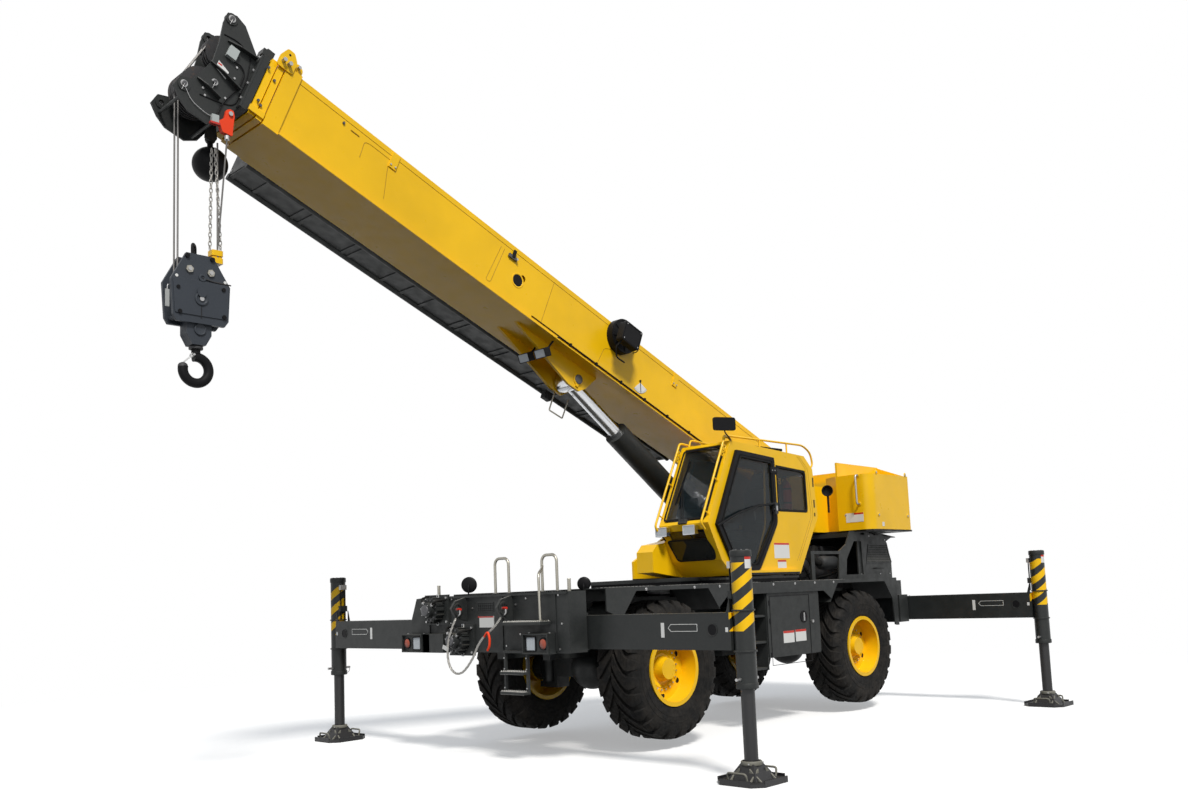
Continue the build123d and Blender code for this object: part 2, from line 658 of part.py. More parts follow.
def winches():
    """Two hoist drums between the towers, behind the boom's foot."""
    parts = []
    for x in (REAR_AXLE_X - 340, REAR_AXLE_X - 790):
        drum = rod_y(x, 2740, -330, 330, 120)
        for y0, y1 in ((-TOWER_INNER_Y + FIT, -300), (300, TOWER_INNER_Y - FIT)):
            drum = drum + rod_y(x, 2740, y0, y1, 190)
        parts.append(drum)
    return Compound([s for part in parts for s in part.solids()])


CAB_X = REAR_AXLE_X
CAB_OUTLINE = (
    (1330, CAB_FLOOR),
    (2730, CAB_FLOOR),
    (2920, 2010),
    (3140, 2440),
    (2640, 3420),
    (1100, 3330),
    (920, 3170),
    (860, 2550),
)


def cab_points(points):
    return [(CAB_X + x, z) for x, z in points]


DOOR_BOTTOM = 1880.0
DOOR_Y = CAB_OUTER_Y + 5.0
DOOR_THICKNESS = 34.0
DOOR_OUTLINE = (
    (2240, DOOR_BOTTOM),
    (2700, DOOR_BOTTOM),
    (3020, 2420),
    (2570, 3310),
    (1820, 3260),
    (1820, 2450),
)
SIDE_WINDOW = ((1080, 2600), (1740, 2600), (1740, 3180), (1090, 3140))
RIGHT_WINDOW = ((1150, 2480), (2900, 2480), (2560, 3300), (1180, 3220))


def slanted(p, q, low, high, y0, y1, thickness, shift=0.0):
    """A slab in the plane of the wall from p to q (X, Z), between two shares of its length."""
    px, pz = CAB_X + p[0], p[1]
    qx, qz = CAB_X + q[0], q[1]
    length = math.hypot(qx - px, qz - pz)
    ux, uz = (qx - px) / length, (qz - pz) / length
    mid = (low + high) / 2
    cx, cz = px + ux * mid, pz + uz * mid
    plane = Plane(origin=(cx, (y0 + y1) / 2, cz), x_dir=(ux, 0, uz), z_dir=(-uz, 0, ux))
    slab = plane * Pos(0, 0, shift) * Box(high - low, y1 - y0, thickness)
    return slab


def cab_windows():
    """Each window: the pane's outline as a slab, as cutter and as pane."""
    inner, outer = CAB_INNER_Y + 70, CAB_OUTER_Y - 70
    front = ((3140, 2440), (2640, 3420))
    chin = ((2920, 2010), (3140, 2440))
    roof = ((2640, 3420), (1100, 3330))
    rear = ((920, 3170), (860, 2550))
    rows = (
        (front, 40.0, 1060.0, inner, outer),
        (chin, 60.0, 400.0, inner + 30, outer - 30),
        (roof, 150.0, 900.0, inner + 60, outer - 60),
        (rear, 60.0, 560.0, inner + 40, outer - 40),
    )
    half = CAB_WALL / 2
    cutters = [slanted(*line, a, b, y0, y1, CAB_WALL + 30, half) for line, a, b, y0, y1 in rows]
    panes = [slanted(*line, a + FIT, b - FIT, y0 + FIT, y1 - FIT, GLASS, half) for line, a, b, y0, y1 in rows]
    return cutters, panes


def cab_shell():
    shell = plate_xz(cab_points(CAB_OUTLINE), CAB_INNER_Y, CAB_OUTER_Y)
    face = make_face(Polyline(*cab_points(CAB_OUTLINE), close=True))
    inner_face = offset(face, amount=-CAB_WALL)
    inner = Plane(origin=(0, CAB_INNER_Y + CAB_WALL, 0), x_dir=(1, 0, 0), z_dir=(0, -1, 0)) * extrude(
        inner_face, -(CAB_OUTER_Y - CAB_INNER_Y - 2 * CAB_WALL)
    )
    shell = shell - inner
    cutters, _ = cab_windows()
    shell = cut(shell, cutters)
    door_hole = offset(make_face(Polyline(*cab_points(DOOR_OUTLINE), close=True)), amount=-30)
    side = Plane(origin=(0, CAB_OUTER_Y - 100, 0), x_dir=(1, 0, 0), z_dir=(0, -1, 0))
    hole = side * extrude(door_hole, -200)
    shell = shell - hole
    shell = shell - plate_xz(cab_points(SIDE_WINDOW), CAB_OUTER_Y - 60, CAB_OUTER_Y + 20)
    sill = (CAB_X + 1400, CAB_X + 2700, CAB_OUTER_Y - 1, DOOR_Y + DOOR_THICKNESS, 1850, DOOR_BOTTOM - FIT)
    shell = shell + block(*sill)
    shell = shell - plate_xz(cab_points(RIGHT_WINDOW), CAB_INNER_Y - 20, CAB_INNER_Y + 60)
    return shell


def cab_glass():
    _, panes = cab_windows()
    solids = list(panes)
    for outline, y in ((SIDE_WINDOW, CAB_OUTER_Y - CAB_WALL / 2), (RIGHT_WINDOW, CAB_INNER_Y + CAB_WALL / 2)):
        face = offset(make_face(Polyline(*cab_points(outline), close=True)), amount=-FIT)
        plane = Plane(origin=(0, y - GLASS / 2, 0), x_dir=(1, 0, 0), z_dir=(0, -1, 0))
        solids.append(plane * extrude(face, -GLASS))
    return Compound([s for part in solids for s in part.solids()])


def cab_door():
    face = make_face(Polyline(*cab_points(DOOR_OUTLINE), close=True))
    plane = Plane(origin=(0, DOOR_Y, 0), x_dir=(1, 0, 0), z_dir=(0, -1, 0))
    panel = plane * extrude(face, -DOOR_THICKNESS)
    hole = Plane(origin=(0, DOOR_Y - 1, 0), x_dir=(1, 0, 0), z_dir=(0, -1, 0)) * extrude(
        offset(face, amount=-65), -(DOOR_THICKNESS + 2)
    )
    return panel - hole


def door_glass():
    face = offset(make_face(Polyline(*cab_points(DOOR_OUTLINE), close=True)), amount=-65 - FIT)
    y = DOOR_Y + DOOR_THICKNESS / 2 - GLASS / 2
    return Plane(origin=(0, y, 0), x_dir=(1, 0, 0), z_dir=(0, -1, 0)) * extrude(face, -GLASS)


def cab_interior():
    """Seat on its plinth, two armrest consoles and the steering column."""
    mid = (CAB_INNER_Y + CAB_OUTER_Y) / 2
    floor = CAB_FLOOR + CAB_WALL + FIT
    x = CAB_X
    plinth = block(x + 1560, x + 2000, mid - 180, mid + 180, floor, 2150)
    seat = block(x + 1500, x + 2060, mid - 240, mid + 240, 2149, 2270)
    back_outline = [(x + 1500, 2200), (x + 1640, 2200), (x + 1540, 2960), (x + 1430, 2960)]
    back = plate_xz(back_outline, mid - 230, mid + 230)
    arms = [block(x + 1560, x + 2050, mid + s * 285 - 45, mid + s * 285 + 45, 2200, 2420) for s in (1, -1)]
    column_outline = [(x + 2380, floor), (x + 2560, floor), (x + 2500, 2420), (x + 2430, 2420)]
    column = plate_xz(column_outline, mid - 70, mid + 70)
    dash = block(x + 2430, x + 2560, mid - 280, mid + 280, 2380, 2450)
    body = joined([plinth, seat, back] + arms)
    front = column + dash
    return Compound([s for part in (body, front) for s in part.solids()])


def cab_mounts():
    """Heater housing beside the cab's nose and the mounts under the floor."""
    x = CAB_X
    housing = plate_xz(
        [(x + 2720, CAB_FLOOR), (x + 3270, 1900), (x + 3270, 2140), (x + 3180, 2230), (x + 2720, 2300)],
        190,
        CAB_INNER_Y - 5,
    )
    return housing


# ---- boom --------------------------------------------------------------------------------
# column names: name, rear end, front end (both along the boom from the pivot)
SECTIONS = (
    ("boom_base", -330.0, 8255.0),
    ("boom_section_2", 260.0, 8325.0),
    ("boom_section_3", 400.0, 8395.0),
    ("boom_section_4", 540.0, 8465.0),
)
COLLAR = 65.0
TELESCOPE = 6700.0
STEP = BOOM_WALL + PAD_GAP


def section_size(index):
    """Half width, bottom and top of a section's outside."""
    return BOOM_HALF_WIDTH - index * STEP, BOOM_BOTTOM + index * STEP, BOOM_TOP - index * STEP


def ring(u0, u1, half, low, high, t):
    """A rectangular ring round the boom: outside size grown inwards by t."""
    outer = block(u0, u1, -half, half, low, high)
    return outer - block(u0 - 1, u1 + 1, -half + t, half - t, low + t, high - t)


def section_tube(index):
    _, rear, front = SECTIONS[index]
    half, low, high = section_size(index)
    tube = ring(rear, front, half, low, high, BOOM_WALL)
    # wear pads: the front ring guides the next section, the rear ring runs in the one before
    if index < len(SECTIONS) - 1:
        pad = BOOM_WALL + PAD_GAP - FIT
        tube = tube + ring(front - 150, front, half, low, high, pad)
    if index > 0:
        grow = PAD_GAP - FIT
        tube = tube + ring(rear, rear + 120, half + grow, low - grow, high + grow, grow + 1)
        big = section_size(0)
        out = 12.0 * (index - 1)
        deep = index * STEP - out + 1
        tube = tube + ring(front - COLLAR + 5, front, big[0] - out, big[1] + out, big[2] - out, deep)
    return tube


ROPE_GUIDES_U = (2440.0, 6855.0)


def boom_base():
    half, low, high = section_size(0)
    tube = section_tube(0)
    front = SECTIONS[0][2]
    collar = ring(front - 160, front, half + 14, low - 14, high + 14, 15)
    flange = block(300, front - 160, -half - 32, half + 32, low - 12, low + 1)
    foot = [
        rod_y(0, 0, -TOWER_INNER_Y + 6, TOWER_INNER_Y - 6, 115),
    ]
    body = joined([tube, collar, flange] + foot)
    # rope guides on top
    for at in ROPE_GUIDES_U:
        for _, side in SIDES:
            g0, g1 = sorted((side * 60, side * 75))
            ear = [(at - 60, high - 1), (at + 60, high - 1), (at + 30, high + 95), (at - 30, high + 95)]
            body = body + plate_xz(ear, g0, g1)
        body = body + rod_y(at, high + 65, -74, 74, 18)
    u, w = LIFT_PIN_U, LIFT_PIN_W
    for _, side in SIDES:
        y0, y1 = sorted((side * 130, side * 165))
        cheek = [
            (u + 1080, low - 11),
            (u + 120, w - 125),
            (u - 60, w - 125),
            (u - 150, w - 40),
            (u - 260, low - 11),
        ]
        body = body + plate_xz(cheek, y0, y1)
    body = body + rod_y(u, w, -175, 175, 50)
    body = body - rod_y(0, 0, -TOWER_INNER_Y, TOWER_INNER_Y, PIVOT_PIN_RADIUS + PIN_FIT)
    # the round access hole in each side
    body = body - rod_y(5080, 130, -half - 20, half + 20, 40)
    return on_boom(body)


def boom_section(index):
    return on_boom(section_tube(index))


NOSE_PLATE_Y = 215.0
NOSE_PLATE = 22.0
NOSE_PIN_FRONT = (8945.0, -345.0)
NOSE_PIN_TOP = (8830.0, 520.0)


def boom_nose():
    """Head of the inmost section: two cheek plates welded to a flange plate, with their pins."""
    half, low, high = 300.0, -215.0, 380.0
    face = SECTIONS[3][2] + FIT
    outline = [
        (face, 330),
        (8700, 560),
        (8800, 590),
        (8880, 560),
        (8880, 450),
        (8840, 250),
        (8820, 40),
        (8900, -240),
        (9000, -290),
        (9020, -400),
        (8930, -480),
        (8830, -530),
        (8640, -530),
        (8540, -450),
        (face, -200),
    ]
    flange = block(face, face + 20, -half, half, low, high)
    head = flange - block(face - 1, face + 21, -140, 140, low + 110, high - 90)
    for _, side in SIDES:
        y0, y1 = sorted((side * NOSE_PLATE_Y, side * (NOSE_PLATE_Y + NOSE_PLATE)))
        plate = plate_xz(outline, y0, y1)
        for u, w in (NOSE_PIN_FRONT, NOSE_PIN_TOP):
            b0, b1 = sorted((side * (NOSE_PLATE_Y - 10), side * (NOSE_PLATE_Y + NOSE_PLATE + 10)))
            plate = plate + rod_y(u, w, b0, b1, 55)
            plate = plate - rod_y(u, w, b0 - 1, b1 + 1, 25)
        head = head + plate
    head = head + rod_y(NOSE_SHEAVE_U, NOSE_SHEAVE_W, -NOSE_PLATE_Y - 40, NOSE_PLATE_Y + 40, 45)
    head = head + rod_y(8720, 290, -NOSE_PLATE_Y - 20, NOSE_PLATE_Y + 20, 35)
    # rope guards under the sheaves
    for u, w in ((8925, -440), (8600, -470)):
        head = head + rod_y(u, w, -NOSE_PLATE_Y - 1, NOSE_PLATE_Y + 1, 14)
    # lug that carries the overhaul ball's line
    u, w = BALL_PIN
    lug = [(face, -150), (8560, -250), (u + 60, w - 35), (u - 30, w - 35), (u - 40, w + 20), (face, -235)]
    head = head + plate_xz(lug, BALL_Y + 26, BALL_Y + 48)
    head = head + rod_y(u, w, BALL_Y - 32, BALL_Y + 27, 15)
    return on_boom(head)


BALL_PIN = (8445.0, -370.0)
BALL_Y = -215.0
ROPE_RADIUS = 8.0
SHEAVE_ROPE_RADIUS = 180.0
SHEAVE_Y = (-105.0, -35.0, 35.0, 105.0)


def sheave(u, w, y, rope_radius, pin):
    """A grooved rope sheave; rope_radius is to the middle of the rope."""
    r = rope_radius - ROPE_RADIUS - FIT
    half = 24.0
    outline = [
        (y - half, pin + PIN_FIT),
        (y - half, r + 28),
        (y - 14, r + 28),
        (y - 8, r),
        (y + 8, r),
        (y + 14, r + 28),
        (y + half, r + 28),
        (y + half, pin + PIN_FIT),
    ]
    return turned_y(u, w, outline)


def nose_sheaves():
    parts = [on_boom(sheave(NOSE_SHEAVE_U, NOSE_SHEAVE_W, y, SHEAVE_ROPE_RADIUS, 45)) for y in SHEAVE_Y]
    parts += [on_boom(sheave(8720, 290, y, 150, 35)) for y in (-35.0, 35.0)]
    return Compound([s for part in parts for s in part.solids()])


def boom_extension():
    """Stowed lattice boom extension on the right of the base section."""
    u0, u1 = 1500.0, 8000.0
    y_in, y_out = -BOOM_HALF_WIDTH - 90, -BOOM_HALF_WIDTH - 480
    w_low, w_high = -230.0, 250.0
    chords = []
    for y in (y_in, y_out):
        for w in (w_low, w_high):
            chords.append(rod_x(y, w, u0, u1, 36))
    bays = 9
    pitch = (u1 - u0) / bays
    braces = []
    for k in range(bays + 1):
        u = u0 + k * pitch
        u = min(max(u, u0 + 30), u1 - 30)
        braces.append(block(u - 20, u + 20, y_out, y_in, w_low - 15, w_low + 15))
        braces.append(block(u - 20, u + 20, y_out, y_in, w_high - 15, w_high + 15))
        for y in (y_in, y_out):
            braces.append(block(u - 20, u + 20, y - 15, y + 15, w_low, w_high))
    arms = [
        block(u - 30, u + 30, y_in, -BOOM_HALF_WIDTH - FIT, -60, 60)
        for u in (u0 + 2 * pitch, u0 + 7 * pitch)
    ]
    return on_boom(joined(chords + braces + arms))


def hose_reel():
    body = rod_y(3520, 300, BOOM_HALF_WIDTH + FIT, BOOM_HALF_WIDTH + 90, 210)
    return on_boom(body)


# ---- lift cylinder -----------------------------------------------------------------------
LIFT_TOP = boom_point(LIFT_PIN_U, LIFT_PIN_W)
LIFT_LENGTH = math.hypot(LIFT_TOP[0] - LIFT_FOOT_X, LIFT_TOP[1] - LIFT_FOOT_Z)
LIFT_ANGLE = math.degrees(math.atan2(LIFT_TOP[1] - LIFT_FOOT_Z, LIFT_TOP[0] - LIFT_FOOT_X))
BARREL_LENGTH = 2250.0
BARREL_RADIUS = 150.0
BARREL_BORE = 125.0
ROD_RADIUS = 82.0


def on_cylinder(shape):
    """Moves a shape drawn along X from the cylinder's foot to its place."""
    return Pos(LIFT_FOOT_X, 0, LIFT_FOOT_Z) * Rot(0, -LIFT_ANGLE, 0) * shape


def lift_barrel():
    barrel = rod_x(0, 0, 140, BARREL_LENGTH, BARREL_RADIUS) - rod_x(0, 0, 220, BARREL_LENGTH + 1, BARREL_BORE)
    gland = rod_x(0, 0, BARREL_LENGTH - 120, BARREL_LENGTH, BARREL_BORE + 1) - rod_x(
        0, 0, BARREL_LENGTH - 121, BARREL_LENGTH + 1, ROD_RADIUS + PIN_FIT
    )
    eye = rod_y(0, 0, -148, 148, 130) + block(0, 160, -148, 148, -110, 110)
    return on_cylinder((barrel + gland + eye) - rod_y(0, 0, -149, 149, 55 + PIN_FIT))


def lift_rod():
    end = LIFT_LENGTH
    rod = rod_x(0, 0, 860, end - 60, ROD_RADIUS)
    piston = rod_x(0, 0, 860, 960, BARREL_BORE - PIN_FIT)
    eye = rod_y(end, 0, -110, 110, 115)
    return on_cylinder((rod + piston + eye) - rod_y(end, 0, -111, 111, 50 + PIN_FIT))


# ---- hook --------------------------------------------------------------------------------
SHEAVE_POINT = boom_point(NOSE_SHEAVE_U, NOSE_SHEAVE_W)
ROPE_FRONT_X = SHEAVE_POINT[0] + SHEAVE_ROPE_RADIUS
BLOCK_SHEAVE_RADIUS = 180.0
BLOCK_X = ROPE_FRONT_X - BLOCK_SHEAVE_RADIUS
BLOCK_SHEAVE_Z = 4400.0
ROPE_REAR_X = BLOCK_X - BLOCK_SHEAVE_RADIUS
BLOCK_ROPES_Y = (-35.0, 35.0)


def hoist_ropes():
    top = SHEAVE_POINT[1]
    parts = []
    for y in BLOCK_ROPES_Y:
        parts.append(rod_z(ROPE_FRONT_X, y, BLOCK_SHEAVE_Z, top, ROPE_RADIUS))
    parts.append(rod_z(ROPE_REAR_X, BLOCK_ROPES_Y[1], BLOCK_SHEAVE_Z, top - 420, ROPE_RADIUS))
    return Compound([s for part in parts for s in part.solids()])


def hook_block():
    """Cheek plates, sheaves, bolts and the hook's trunnion head."""
    x, z = BLOCK_X, BLOCK_SHEAVE_Z
    outline = [
        (x - 110, z + 340),
        (x + 130, z + 340),
        (x + 265, z + 90),
        (x + 245, z - 220),
        (x + 215, z - 270),
        (x - 215, z - 270),
        (x - 250, z - 220),
        (x - 265, z + 90),
    ]
    cheeks = []
    for _, side in SIDES:
        y0, y1 = sorted((side * 66, side * 100))
        cheeks.append(plate_xz(outline, y0, y1))
    spacer_places = ((-70, 300), (70, 300), (-200, -225), (200, -225))
    spacers = [rod_y(x + dx, z + dz, -70, 70, 18) for dx, dz in spacer_places]
    pin = rod_y(x, z, -125, 125, 42)
    head = plate_xz(
        [
            (x - 110, z - 200),
            (x + 110, z - 200),
            (x + 110, z - 360),
            (x + 60, z - 450),
            (x - 60, z - 450),
            (x - 110, z - 360),
        ],
        -67,
        67,
    )
    discs = [Pos(0, 0, 0) * sheave(x, z, y, BLOCK_SHEAVE_RADIUS, 41) for y in BLOCK_ROPES_Y]
    return joined(cheeks + spacers + [pin, head] + discs)


def hook():
    """Forged single hook: shank and a curved bowl of round section."""
    x, z = BLOCK_X, BLOCK_SHEAVE_Z - 450 - FIT
    shank = rod_z(x, 0, z - 70, z, 38)
    bowl_z = z - 210
    bowl = Pos(x, 0, bowl_z) * Rot(90, 0, 0) * Torus(115, 42)
    gap = block(x + 20, x + 200, -60, 60, bowl_z + 20, bowl_z + 200)
    return shank + (bowl - gap)


def overhaul_ball():
    """Ball weight turned in one piece with its neck, hung from a pin by an eye."""
    x, z = boom_point(*BALL_PIN)
    drop, radius = 235.0, 158.0
    arc = CenterArc((0, 0), radius, -90, 152)
    top = [arc @ 1, (26, 160), (26, 215), (0, 215), (0, -radius)]
    face = make_face([arc] + [Line(p, q) for p, q in zip(top, top[1:])])
    ball = Pos(x, BALL_Y, z - drop) * Rot(90, 0, 0) * revolve(face, Axis.Y)
    eye = rod_y(x, z, BALL_Y - 20, BALL_Y + 20, 42)
    return (ball + eye) - rod_y(x, z, BALL_Y - 60, BALL_Y + 60, 15 + PIN_FIT)


# ---- write the nodes ---------------------------------------------------------------------
def build():
    keep("carrier_frame", carrier_frame())
    keep("slew_ring", slew_ring())
    keep("carrier_deck", carrier_deck())
    keep("front_outrigger_box", front_box())
    keep("rear_outrigger_box", rear_box())
    keep("side_lockers", side_lockers())
    keep("engine_hood", engine_hood())
    keep("engine_block", engine_block())
    keep("drive_line", drive_line())
    keep("front_axle", axle(FRONT_AXLE_X))
    keep("rear_axle", axle(REAR_AXLE_X))
    keep("front_fittings", front_fittings())
    keep("handrails", handrails())
    for name, x, side in WHEELS:
        keep("knuckle_" + name, knuckle(x, side))
        keep("rim_" + name, rim(x, side))
        keep("tyre_" + name, tyre(x, side))
    for name, x, side in OUTRIGGERS:
        keep("outrigger_beam_" + name, outrigger_beam(x, side))
        keep("jack_rod_" + name, jack_rod(x, side))
    keep("turntable_frame", turntable_frame())
    keep("counterweight", counterweight())
    keep("winches", winches())
    keep("cab_shell", cab_shell())
    keep("cab_glass", cab_glass())
    keep("cab_door", cab_door())
    keep("door_glass", door_glass())
    keep("cab_interior", cab_interior())
    keep("heater_housing", cab_mounts())
    keep("boom_base", boom_base())
    keep("boom_section_2", boom_section(1))
    keep("boom_section_3", boom_section(2))
    keep("boom_section_4", boom_section(3))
    keep("boom_nose", boom_nose())
    keep("nose_sheaves", nose_sheaves())
    keep("boom_extension", boom_extension())
    keep("hose_reel", hose_reel())
    keep("lift_barrel", lift_barrel())
    keep("lift_rod", lift_rod())
    keep("hoist_ropes", hoist_ropes())
    keep("hook_block", hook_block())
    keep("hook", hook())
    keep("overhaul_ball", overhaul_ball())


def main():
    build()
    os.makedirs("parts", exist_ok=True)
    for name, shape in NODES.items():
        export_step(shape, os.path.join("parts", name + ".step"))


main()
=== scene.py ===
import json
import math

import bpy
from mathutils import Matrix, Vector


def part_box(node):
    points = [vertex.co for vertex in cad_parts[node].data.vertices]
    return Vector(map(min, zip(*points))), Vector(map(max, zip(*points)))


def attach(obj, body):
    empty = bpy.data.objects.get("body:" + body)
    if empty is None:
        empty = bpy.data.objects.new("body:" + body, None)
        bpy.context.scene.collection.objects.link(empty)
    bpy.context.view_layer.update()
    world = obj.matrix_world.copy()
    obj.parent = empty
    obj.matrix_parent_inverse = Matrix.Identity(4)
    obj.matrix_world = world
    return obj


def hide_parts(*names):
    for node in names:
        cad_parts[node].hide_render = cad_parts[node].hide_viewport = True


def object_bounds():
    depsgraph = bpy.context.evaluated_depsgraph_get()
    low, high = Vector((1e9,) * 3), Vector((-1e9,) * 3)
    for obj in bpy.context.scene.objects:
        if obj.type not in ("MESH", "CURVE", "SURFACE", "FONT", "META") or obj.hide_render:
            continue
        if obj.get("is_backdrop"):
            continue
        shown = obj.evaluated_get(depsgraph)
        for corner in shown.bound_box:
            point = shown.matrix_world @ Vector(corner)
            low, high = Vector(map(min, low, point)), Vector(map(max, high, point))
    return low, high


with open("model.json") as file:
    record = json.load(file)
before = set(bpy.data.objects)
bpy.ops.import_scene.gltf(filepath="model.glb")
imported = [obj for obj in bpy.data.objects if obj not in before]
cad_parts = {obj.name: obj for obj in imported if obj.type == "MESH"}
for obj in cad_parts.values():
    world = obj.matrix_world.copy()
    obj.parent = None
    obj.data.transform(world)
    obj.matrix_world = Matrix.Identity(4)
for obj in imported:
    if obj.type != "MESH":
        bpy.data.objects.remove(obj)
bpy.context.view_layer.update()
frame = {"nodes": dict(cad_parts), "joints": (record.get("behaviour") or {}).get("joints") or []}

# ---- places taken from the frame --------------------------------------------------------------
JOINTS = {j["name"]: j for j in frame["joints"]}
PIVOT = Vector(JOINTS["boom_lift"]["pos_m"])
ALONG = Vector(JOINTS["telescope_2"]["axis"])           # along the boom
UP = Vector((-ALONG.z, 0, ALONG.x))                     # square to it, upwards
SHEAVE = Vector(JOINTS["hook_lines_plumb"]["pos_m"])
SWING = Vector(JOINTS["swing"]["pos_m"])
PIN_END = 0.16                                          # lift lug's outer face from the middle
WHEEL = {n: Vector(JOINTS["wheel_spin_" + n]["pos_m"]) for n in ("fl", "fr", "rl", "rr")}
REAR_X = WHEEL["rl"].x
DECK_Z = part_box("carrier_deck")[1].z
NOSE_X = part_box("front_outrigger_box")[1].x
JACKS = {}
for corner in ("fl", "fr", "rl", "rr"):
    low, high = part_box("jack_rod_" + corner)
    JACKS[corner] = Vector(((low.x + high.x) / 2, (low.y + high.y) / 2, 0))


def on_boom(u, y, w):
    """A point given along the boom, to its left and square to it."""
    return PIVOT + ALONG * u + UP * w + Vector((0, y, 0))


# ---- camera, floor and light ------------------------------------------------------------------
CAMERA_AT = (REAR_X + 12.725, 8.816, 1.676)
CAMERA_TURN = (-136.26, 6.26, -2.34)                    # yaw, pitch and roll in degrees
CAMERA_LENS = 32.36
CAMERA_SHIFT = (-0.0117, 0.0641)
SKY_STRENGTH = 0.50
SUN_STRENGTH, SUN_ANGLE = 3.6, 11
FILL_WATTS = 220
FLOOR_HALF = 90.0
GLOW_FROM, GLOW_TO = 6.0, 14.0                          # where the floor fades to white, in metres


def add_camera():
    """The camera stands at the front left of the crane, at about eye level."""
    cam = bpy.data.cameras.new("camera")
    obj = bpy.data.objects.new("camera", cam)
    bpy.context.scene.collection.objects.link(obj)
    yaw, pitch, roll = (math.radians(a) for a in CAMERA_TURN)
    forward = Vector((math.cos(pitch) * math.cos(yaw), math.cos(pitch) * math.sin(yaw), math.sin(pitch)))
    right = forward.cross(Vector((0, 0, 1))).normalized()
    up = right.cross(forward)
    r = right * math.cos(roll) + up * math.sin(roll)
    u = up * math.cos(roll) - right * math.sin(roll)
    turn = Matrix((r, u, -forward)).transposed().to_4x4()
    obj.matrix_world = Matrix.Translation(CAMERA_AT) @ turn
    cam.sensor_width = 36
    cam.lens = CAMERA_LENS
    cam.shift_x, cam.shift_y = CAMERA_SHIFT
    cam.clip_end = 300
    bpy.context.scene.camera = obj


def add_node(nt, kind, **inputs):
    """A node with its named sockets set: an underscore stands for a space."""
    made = nt.nodes.new(kind)
    for key, value in inputs.items():
        made.inputs[key.replace("_", " ")].default_value = value
    return made


def join(nt, *links):
    """Each link: what it comes from (a node's first output, or a socket), node it goes to, its socket."""
    for source, target, socket in links:
        nt.links.new(getattr(source, "outputs", [source])[0], target.inputs[socket])


def seen_white(nt):
    """1 for the rays that should see the plain white background."""
    path = nt.nodes.new("ShaderNodeLightPath")
    last = path.outputs["Is Camera Ray"]
    for ray in ("Is Transmission Ray", "Is Glossy Ray"):
        most = nt.nodes.new("ShaderNodeMath")
        most.operation = "MAXIMUM"
        join(nt, (last, most, 0), (path.outputs[ray], most, 1))
        last = most.outputs[0]
    return last


def add_world():
    """Plain white for the rays that see the background, a soft blue-white light for the others."""
    world = bpy.data.worlds.new("sky")
    bpy.context.scene.world = world
    world.use_nodes = True
    nt = world.node_tree
    nt.nodes.clear()
    out = add_node(nt, "ShaderNodeOutputWorld")
    mix = add_node(nt, "ShaderNodeMixShader")
    soft = add_node(nt, "ShaderNodeBackground", Color=(0.82, 0.90, 1.0, 1), Strength=SKY_STRENGTH)
    white = add_node(nt, "ShaderNodeBackground", Color=(1, 1, 1, 1), Strength=1.0)
    join(nt, (seen_white(nt), mix, 0), (soft, mix, 1), (white, mix, 2), (mix, out, 0))


def add_lamp(kind, name, energy):
    data = bpy.data.lights.new(name, kind)
    data.energy = energy
    lamp = bpy.data.objects.new(name, data)
    bpy.context.scene.collection.objects.link(lamp)
    return lamp, data


def aim(lamp, direction):
    lamp.rotation_euler = direction.to_track_quat("-Z", "Y").to_euler()


def add_lights():
    """A soft sun from the front left, and a wide fill on the same side."""
    lamp, sun = add_lamp("SUN", "key", SUN_STRENGTH)
    sun.angle = math.radians(SUN_ANGLE)
    sun.color = (1.0, 0.97, 0.92)
    aim(lamp, Vector((-0.34, -0.60, -0.80)))
    lamp, fill = add_lamp("AREA", "fill", FILL_WATTS)
    fill.shape = "RECTANGLE"
    fill.size, fill.size_y = 12, 7
    lamp.location = (10, 10, 7)
    aim(lamp, Vector((0, 0, 2)) - Vector(lamp.location))


def add_floor():
    """A pale floor that keeps the shadow near the crane and turns plain white further out."""
    size = FLOOR_HALF
    mesh = bpy.data.meshes.new("floor")
    mesh.from_pydata([(-size, -size, 0), (size, -size, 0), (size, size, 0), (-size, size, 0)], [],
                     [(0, 1, 2, 3)])
    floor = bpy.data.objects.new("floor", mesh)
    bpy.context.scene.collection.objects.link(floor)
    mat = bpy.data.materials.new("floor")
    mat.use_nodes = True
    nt = mat.node_tree
    nt.nodes.clear()
    out = add_node(nt, "ShaderNodeOutputMaterial")
    base = add_node(nt, "ShaderNodeBsdfDiffuse", Color=(0.97, 0.97, 0.97, 1))
    dark = add_node(nt, "ShaderNodeBsdfDiffuse", Color=(0.05, 0.05, 0.05, 1))
    glow = add_node(nt, "ShaderNodeEmission", Strength=1.0)
    mix, pick = (add_node(nt, "ShaderNodeMixShader") for _ in range(2))
    place = nt.nodes.new("ShaderNodeTexCoord")
    away = nt.nodes.new("ShaderNodeVectorMath")
    away.operation = "LENGTH"
    ramp = add_node(nt, "ShaderNodeMapRange", From_Min=GLOW_FROM, From_Max=GLOW_TO, To_Min=0.35)
    join(nt, (place.outputs["Object"], away, 0), (away.outputs["Value"], ramp, "Value"), (ramp, mix, 0),
         (base, mix, 1), (glow, mix, 2), (seen_white(nt), pick, 0), (dark, pick, 1), (mix, pick, 2),
         (pick, out, 0))
    mesh.materials.append(mat)
    floor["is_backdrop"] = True


# ---- materials --------------------------------------------------------------------------------
UNUSED_FROM = 99.0                                      # past the boom's end: yellow all along
NOSE_DARK_FROM = 8.26                                   # last section is charcoal from its collar on
YELLOW = (0.86, 0.50, 0.003)
CHARCOAL = (0.017, 0.019, 0.019)
BLACK = (0.007, 0.007, 0.008)


